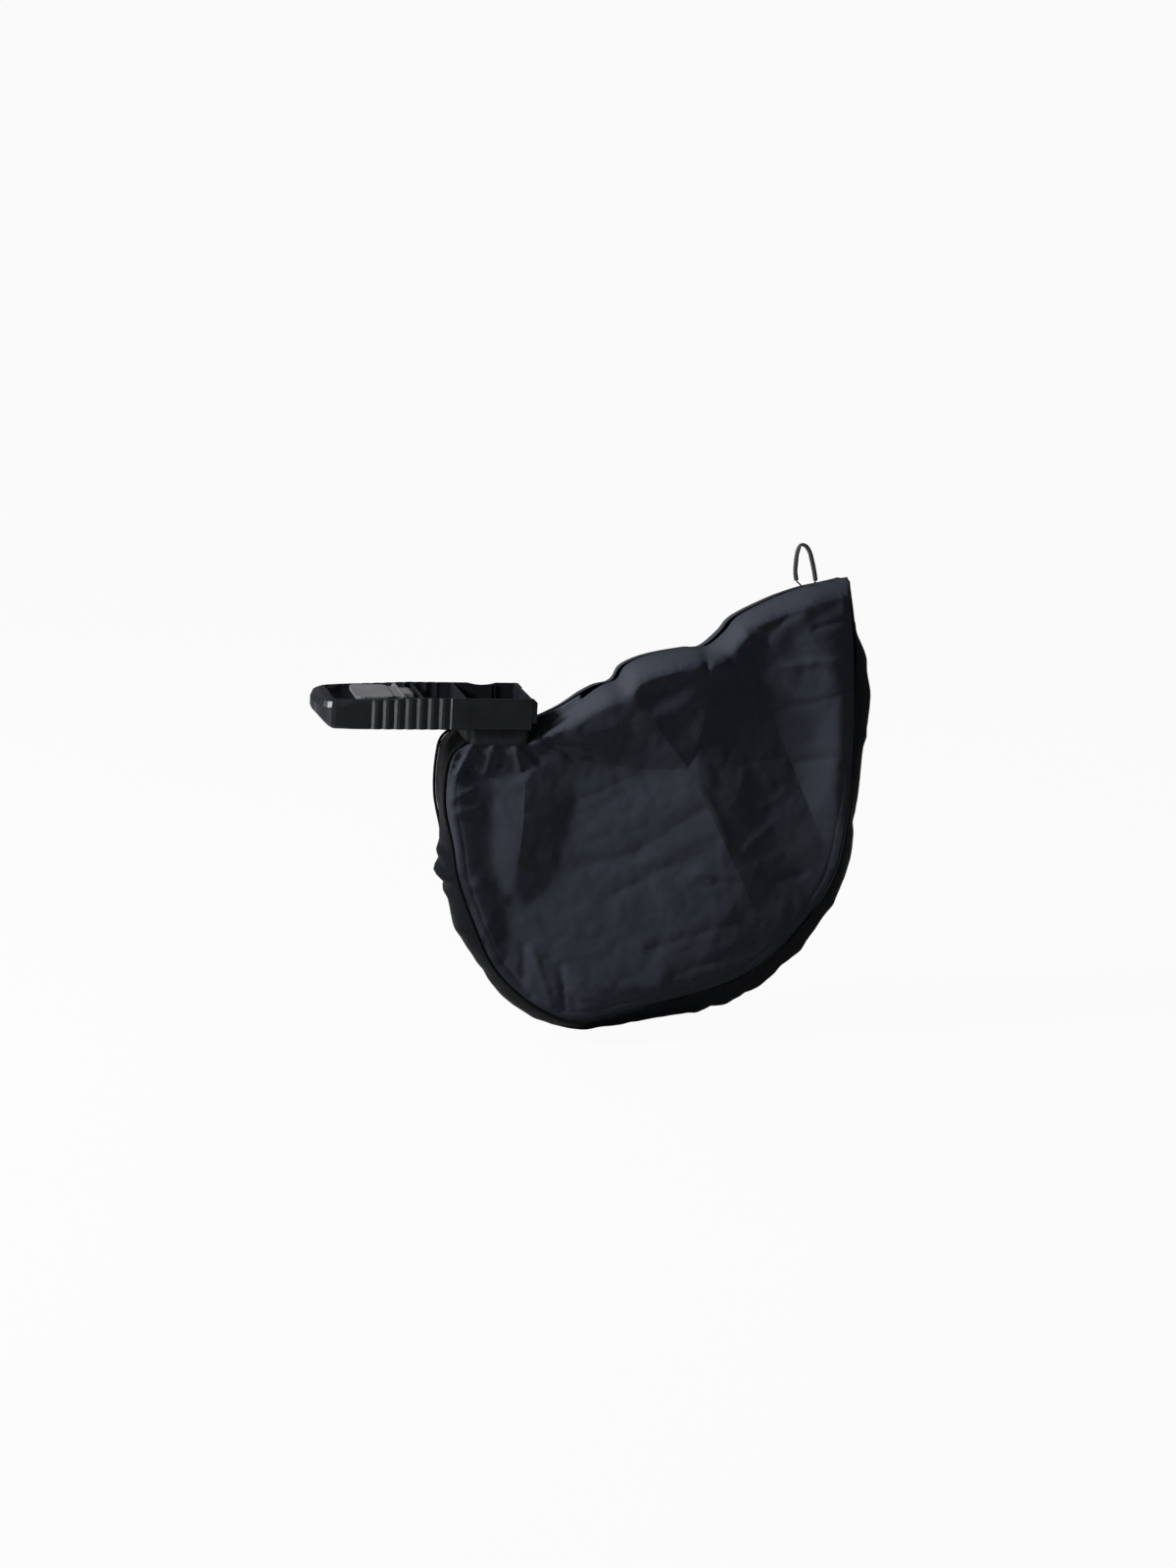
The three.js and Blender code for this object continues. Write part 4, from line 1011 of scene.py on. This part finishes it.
tape = woven_tape()
for name in ("zip_tape_front", "zip_tape_back"):
    dress(name, tape)
for name in ("zip_chain_front", "zip_chain_back", "zip_slider", "zip_lower_stop", "zip_upper_stop"):
    dress(name, black_steel)

# Studio
# A pale seamless floor that runs up behind the bag. A soft key lamp high on the left rakes across
# the folds, with a lamp behind the bag, a weak fill from the right, and a lamp at the front left
# that shows only as a gleam in shiny surfaces. Places and sizes are in metres, powers in watts.
FLOOR_DROP = 0.012
FLOOR_REACH = 9.0
BACKDROP_START = 3.2
BACKDROP_RADIUS = 2.4
BACKDROP_STEPS = 12
PAPER_CLOUD = 333.333
PAPER_GLOW = 0.95
WORLD_LIGHT = 0.06
WORLD_GLOSS = 0.1
# Name, place, size, power, and whether it shows only in gleams.
LAMPS = [
    ("key_lamp", (-2.4, -0.62, 1.35), 0.6, 125, False),
    ("back_lamp", (-1.6, 1.7, 1.4), 1.0, 30, False),
    ("fill_lamp", (2.4, -2.2, 0.5), 1.2, 5, False),
    ("gloss_lamp", (-1.9, -1.8, -0.3), 0.5, 13, True),
]


def seamless_paper():
    """Matt grey background paper. The camera sees it burnt out to white, as in a product photo."""
    material, tree = new_material("seamless_paper")
    place = add_node(tree, "TexCoord").outputs["Object"]
    cloudy = add_node(tree, "TexNoise", {
        "Vector": place, "Scale": features(PAPER_CLOUD), "Detail": 2.0}).outputs["Fac"]
    colour = add_node(tree, "ValToRGB", {"Fac": cloudy}, [(0.3, "#9c9c9c"), (0.7, "#a2a2a2")])
    paper = add_node(tree, "BsdfDiffuse", {"Color": colour.outputs["Color"]})
    glow = add_node(tree, "Emission", {"Color": (1, 1, 1, 1), "Strength": 1.0})
    path = add_node(tree, "LightPath")
    seen = add_node(tree, "Math", {0: path.outputs["Is Camera Ray"], 1: PAPER_GLOW}, operation="MULTIPLY")
    mixed = add_node(tree, "MixShader", {
        "Fac": seen.outputs[0], 1: paper.outputs["BSDF"], 2: glow.outputs["Emission"]})
    add_node(tree, "OutputMaterial", {"Surface": mixed.outputs["Shader"]})
    return material


def studio_floor():
    low = cad_box[0][2] - FLOOR_DROP
    profile = [(-FLOOR_REACH, 0.0), (BACKDROP_START, 0.0)]
    for step in range(1, BACKDROP_STEPS + 1):
        angle = step / BACKDROP_STEPS * math.pi / 2
        profile.append((
            BACKDROP_START + BACKDROP_RADIUS * math.sin(angle), BACKDROP_RADIUS * (1 - math.cos(angle))))
    profile.append((BACKDROP_START + BACKDROP_RADIUS, FLOOR_REACH))
    vertices = [Vector((x, y, low + z)) for x in (-FLOOR_REACH, FLOOR_REACH) for y, z in profile]
    count = len(profile)
    faces = [(index, index + 1, count + index + 1, count + index) for index in range(count - 1)]
    floor = mesh_piece("studio_floor", vertices, [face[::-1] for face in faces], seamless_paper())


def lamp(name, place, target, size, power, glossy_only):
    light = bpy.data.lights.new(name, "AREA")
    light.shape = "DISK"
    light.size = size
    light.energy = power
    piece = bpy.data.objects.new(name, light)
    piece.location = place
    piece.visible_diffuse = not glossy_only
    piece.rotation_euler = (Vector(target) - Vector(place)).to_track_quat("-Z", "Y").to_euler()
    bpy.context.scene.collection.objects.link(piece)


def studio_world():
    world = bpy.data.worlds.new("studio_world")
    bpy.context.scene.world = world
    world.use_nodes = True
    tree = world.node_tree
    tree.nodes.clear()
    path = add_node(tree, "LightPath")
    mirrored = add_node(tree, "Math", {
        0: path.outputs["Is Glossy Ray"], 1: WORLD_GLOSS, 2: WORLD_LIGHT}, operation="MULTIPLY_ADD")
    seen = add_node(tree, "Math", {
        0: path.outputs["Is Camera Ray"], 1: mirrored.outputs[0]}, operation="MAXIMUM")
    sky = add_node(tree, "Background", {"Color": (1, 1, 1, 1), "Strength": seen.outputs[0]})
    add_node(tree, "OutputWorld", {"Surface": sky.outputs["Background"]})


studio_floor()
middle = ((cad_box[0][0] + cad_box[1][0]) / 2, 0.0, (cad_box[0][2] + cad_box[1][2]) / 2)
for name, place, size, power, glossy_only in LAMPS:
    lamp(name, place, middle, size, power, glossy_only)
studio_world()
bpy.context.scene.view_settings.view_transform = "Standard"
